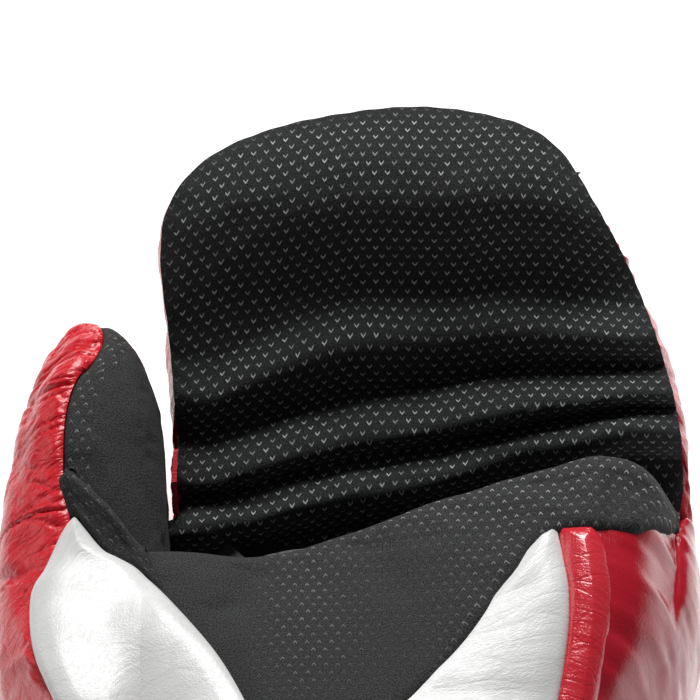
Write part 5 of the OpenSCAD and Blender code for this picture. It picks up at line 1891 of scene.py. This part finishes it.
@dataclass
class Closure(Cuff):
    """The strap: sewn root, two lengths that peel open, hook and loop tapes and a blank badge."""

    strap_t: float = 2.4
    hook_t: float = 1.2
    root_t: float = 10.0
    fold_t: float = 100.0
    tip_t: float = 148.0
    badge_len: float = 26.0

    @property
    def span(self) -> tuple[float, float]:
        """Stations on the cuff where the strap's front and back edges lie."""
        f = self.form
        lead = (f.cuff_len - f.strap_w) / 2
        run = f.cuff_len - f.layer_gap
        return lead / run, (lead + f.strap_w) / run

    def strip(self, t0: float, t1: float, high: float, round_end: bool, inset: float = 0.0) -> Grid:
        """Outer face of one strap layer.

        Args:
            t0: ring angle where it starts.
            t1: ring angle where it ends.
            high: height of its top over the cuff.
            round_end: narrows the last stretch to a rounded tongue.
            inset: how far it stays inside the strap's edges, in millimetres.

        Returns:
            The points of its top.
        """
        v0, v1 = self.span
        pad = inset / self.form.cuff_len
        v0, v1 = v0 + pad, v1 - pad
        cols = max(24, int((t1 - t0) * 1.6))
        a = np.linspace(0, 1, cols)
        t = mix(t0, t1, a)
        round_off = np.where(round_end, 1 - dome(np.clip((a - 0.62) / 0.38, 0, 1), 2.6), 0.0) * 0.42
        b = np.linspace(0, 1, 50)[:, None]
        v = mix(v0 + (v1 - v0) * round_off[None], v1 - (v1 - v0) * round_off[None], b)
        return self.form.cuff(v, t[None, :], -high)

    def build_layer(self, name: str, node: str, body: str, t0: float, t1: float, low: float, high: float,
                    finish: str, slot: str, round_end: bool = False, inset: float = 0.0) -> Grid:
        """Builds one strap layer as a skin of its own thickness and gives its top."""
        base = self.strip(t0, t1, high, round_end, inset)
        d = edge_distance(base, "bt")
        soft = 0.12 * wander(arc_along(base, 1), arc_along(base, 0), 9, 181 + len(name), 3)
        height = soft + (seam_dip(d, 0.5, 0.8) if finish == "red_vinyl" else 0)
        self.dress(skin(name, base, height, high - low), finish, slot, [node], body)
        return base

    def build(self) -> None:
        """Builds the strap from its root to its tip, with tapes, stitching and badge."""
        gap, hook = self.form.layer_gap, self.hook_t
        loop_out = gap + hook
        hook_in, hook_out = loop_out + gap, loop_out + gap + hook
        strap_in = hook_out + gap
        strap_out = strap_in + self.strap_t
        self.build_layer("loop_pile_patch", "loop_patch", "hand", self.fold_t - 42, self.tip_t, gap, loop_out,
                         "loop_pile", "loop_pile")
        root = self.build_layer("strap_root", "strap_anchor", "hand", -14, self.root_t - 0.35, gap, strap_out,
                                "red_vinyl", "red_vinyl")
        body = self.build_layer("strap_body", "strap_base", "strap", self.root_t + 0.35, self.fold_t - 0.7,
                                strap_in, strap_out, "red_vinyl", "red_vinyl")
        self.build_layer("strap_hooks_body", "strap_hook_base", "strap", self.fold_t - 40,
                         self.fold_t - 3, hook_in,
                         hook_out, "hook_tape", "hook_tape", inset=1.0)
        tip = self.build_layer("strap_end", "strap_tip", "strap_end", self.fold_t + 0.7, self.tip_t, strap_in,
                               strap_out, "red_vinyl", "red_vinyl", round_end=True)
        self.build_layer("strap_hooks_end", "strap_hook_tip", "strap_end", self.fold_t + 3,
                         self.tip_t - 4, hook_in,
                         hook_out, "hook_tape", "hook_tape", round_end=True, inset=1.5)
        for name, top, owner in (("root", root, "hand"), ("body", body, "strap"), ("end", tip, "strap_end")):
            normal = grid_normals(top)
            for side, row in (("front", 4), ("back", -5)):
                piece = stitches(f"strap_{name}_stitching_{side}", top[row, 1:-1] + normal[row, 1:-1] * 0.05,
                                 normal[row, 1:-1], 2.6, 1.3, 0.6)
                self.dress(piece, "thread", "red_vinyl", body=owner)
        self.build_badge(strap_out + gap)

    def build_badge(self, under: float) -> None:
        """Blank moulded badge: a rounded square with a raised rim and a shallow dished middle."""
        f = self.form
        b, a = np.meshgrid(np.linspace(-1, 1, 60), np.linspace(-1, 1, 60), indexing="ij")
        dx, dy = a * np.sqrt(1 - 0.22 * b**2), b * np.sqrt(1 - 0.22 * a**2)
        middle = sum(self.span) / 2
        half_v = self.badge_len / 2 / f.cuff_len
        rho = (np.abs(dx) ** 4 + np.abs(dy) ** 4) ** 0.25
        base = f.cuff(middle + dy * half_v, self.fold_t + 21 + dx * 9, -under - 1.2)
        height = 0.45 * bump(rho, 0.86, 0.07) - 0.2 * ease((0.75 - rho) / 0.2)
        height = height - 0.5 * ease((rho - 0.95) / 0.1)
        piece = skin("strap_blank_badge", base, height, 1.1)
        self.dress(piece, "badge", "badge", ["strap_badge"], "strap_end")


@dataclass(frozen=True)
class Studio:
    """Plain pale floor, a large soft light from above and behind, weak fill, and the camera over the palm."""

    camera_at: tuple[float, float, float] = (0.0, -2.7554, 2.9014)
    target: tuple[float, float, float] = (0.0, 0.073, 0.073)
    lens: float = 840.0

    def light(self, name: str, place: tuple[float, float, float], size: float, power: float) -> None:
        """Square soft light at a place, turned to the glove.

        Args:
            name: of the light.
            place: in metres.
            size: of its side.
            power: in watts.
        """
        data = bpy.data.lights.new(name, "AREA")
        data.size, data.energy = size, power
        obj = bpy.data.objects.new(name, data)
        obj.location = place
        obj.rotation_euler = (Vector(self.target) - Vector(place)).to_track_quat("-Z", "Y").to_euler()
        bpy.context.scene.collection.objects.link(obj)

    def build(self) -> None:
        """Makes floor, lights, sky and camera."""
        x, y = np.meshgrid(np.linspace(-3000, 3000, 13), np.linspace(-3000, 3000, 13))
        index = np.arange(169).reshape(13, 13)
        faces = np.stack([index[:-1, :-1].ravel(), index[:-1, 1:].ravel(), index[1:, 1:].ravel(),
                          index[1:, :-1].ravel()], axis=1)
        floor = make_object("floor", np.stack([x, y, 0 * x - 0.4], axis=2).reshape(-1, 3), faces)
        shade = Shader("floor")
        shade.set(Base_Color=(0.93, 0.93, 0.93, 1), Roughness=0.9, Specular_IOR_Level=0.1,
                  Emission_Color=(1, 1, 1, 1), Emission_Strength=0.22)
        floor.data.materials.append(shade.material)
        self.light("key", (0.03, 0.72, 1.2), 0.7, 23.5)
        self.light("top_left", (-1.0, 0.25, 0.75), 0.6, 1.8)
        self.light("front", (0.2, -1.2, 0.9), 0.9, 0.35)
        world = bpy.data.worlds.new("soft_sky")
        bpy.context.scene.world = world
        world.use_nodes = True
        world.node_tree.nodes["Background"].inputs[0].default_value = (0.9, 0.93, 1.0, 1)
        world.node_tree.nodes["Background"].inputs[1].default_value = 0.06
        data = bpy.data.cameras.new("camera")
        data.lens, data.sensor_width = self.lens, 36.0
        data.clip_start, data.clip_end = 0.02, 20.0
        camera = bpy.data.objects.new("camera", data)
        camera.location = self.camera_at
        way = Vector(self.target) - Vector(self.camera_at)
        camera.rotation_euler = way.to_track_quat("-Z", "Y").to_euler()
        bpy.context.scene.collection.objects.link(camera)
        bpy.context.scene.camera = camera
        bpy.context.scene.view_settings.view_transform = "Standard"


def main() -> None:
    """Loads the frame, builds the studio and every sub-assembly over it."""
    logging.basicConfig(level=logging.INFO, format="%(message)s")
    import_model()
    Studio().build()
    form = GloveForm()
    wardrobe = Wardrobe().sew()
    for assembly in (FingerSection(form, wardrobe), HandSection(form, wardrobe), ThumbSection(form, wardrobe),
                     Cuff(form, wardrobe), Closure(form, wardrobe)):
        assembly.build()


if __name__ == "__main__":
    main()
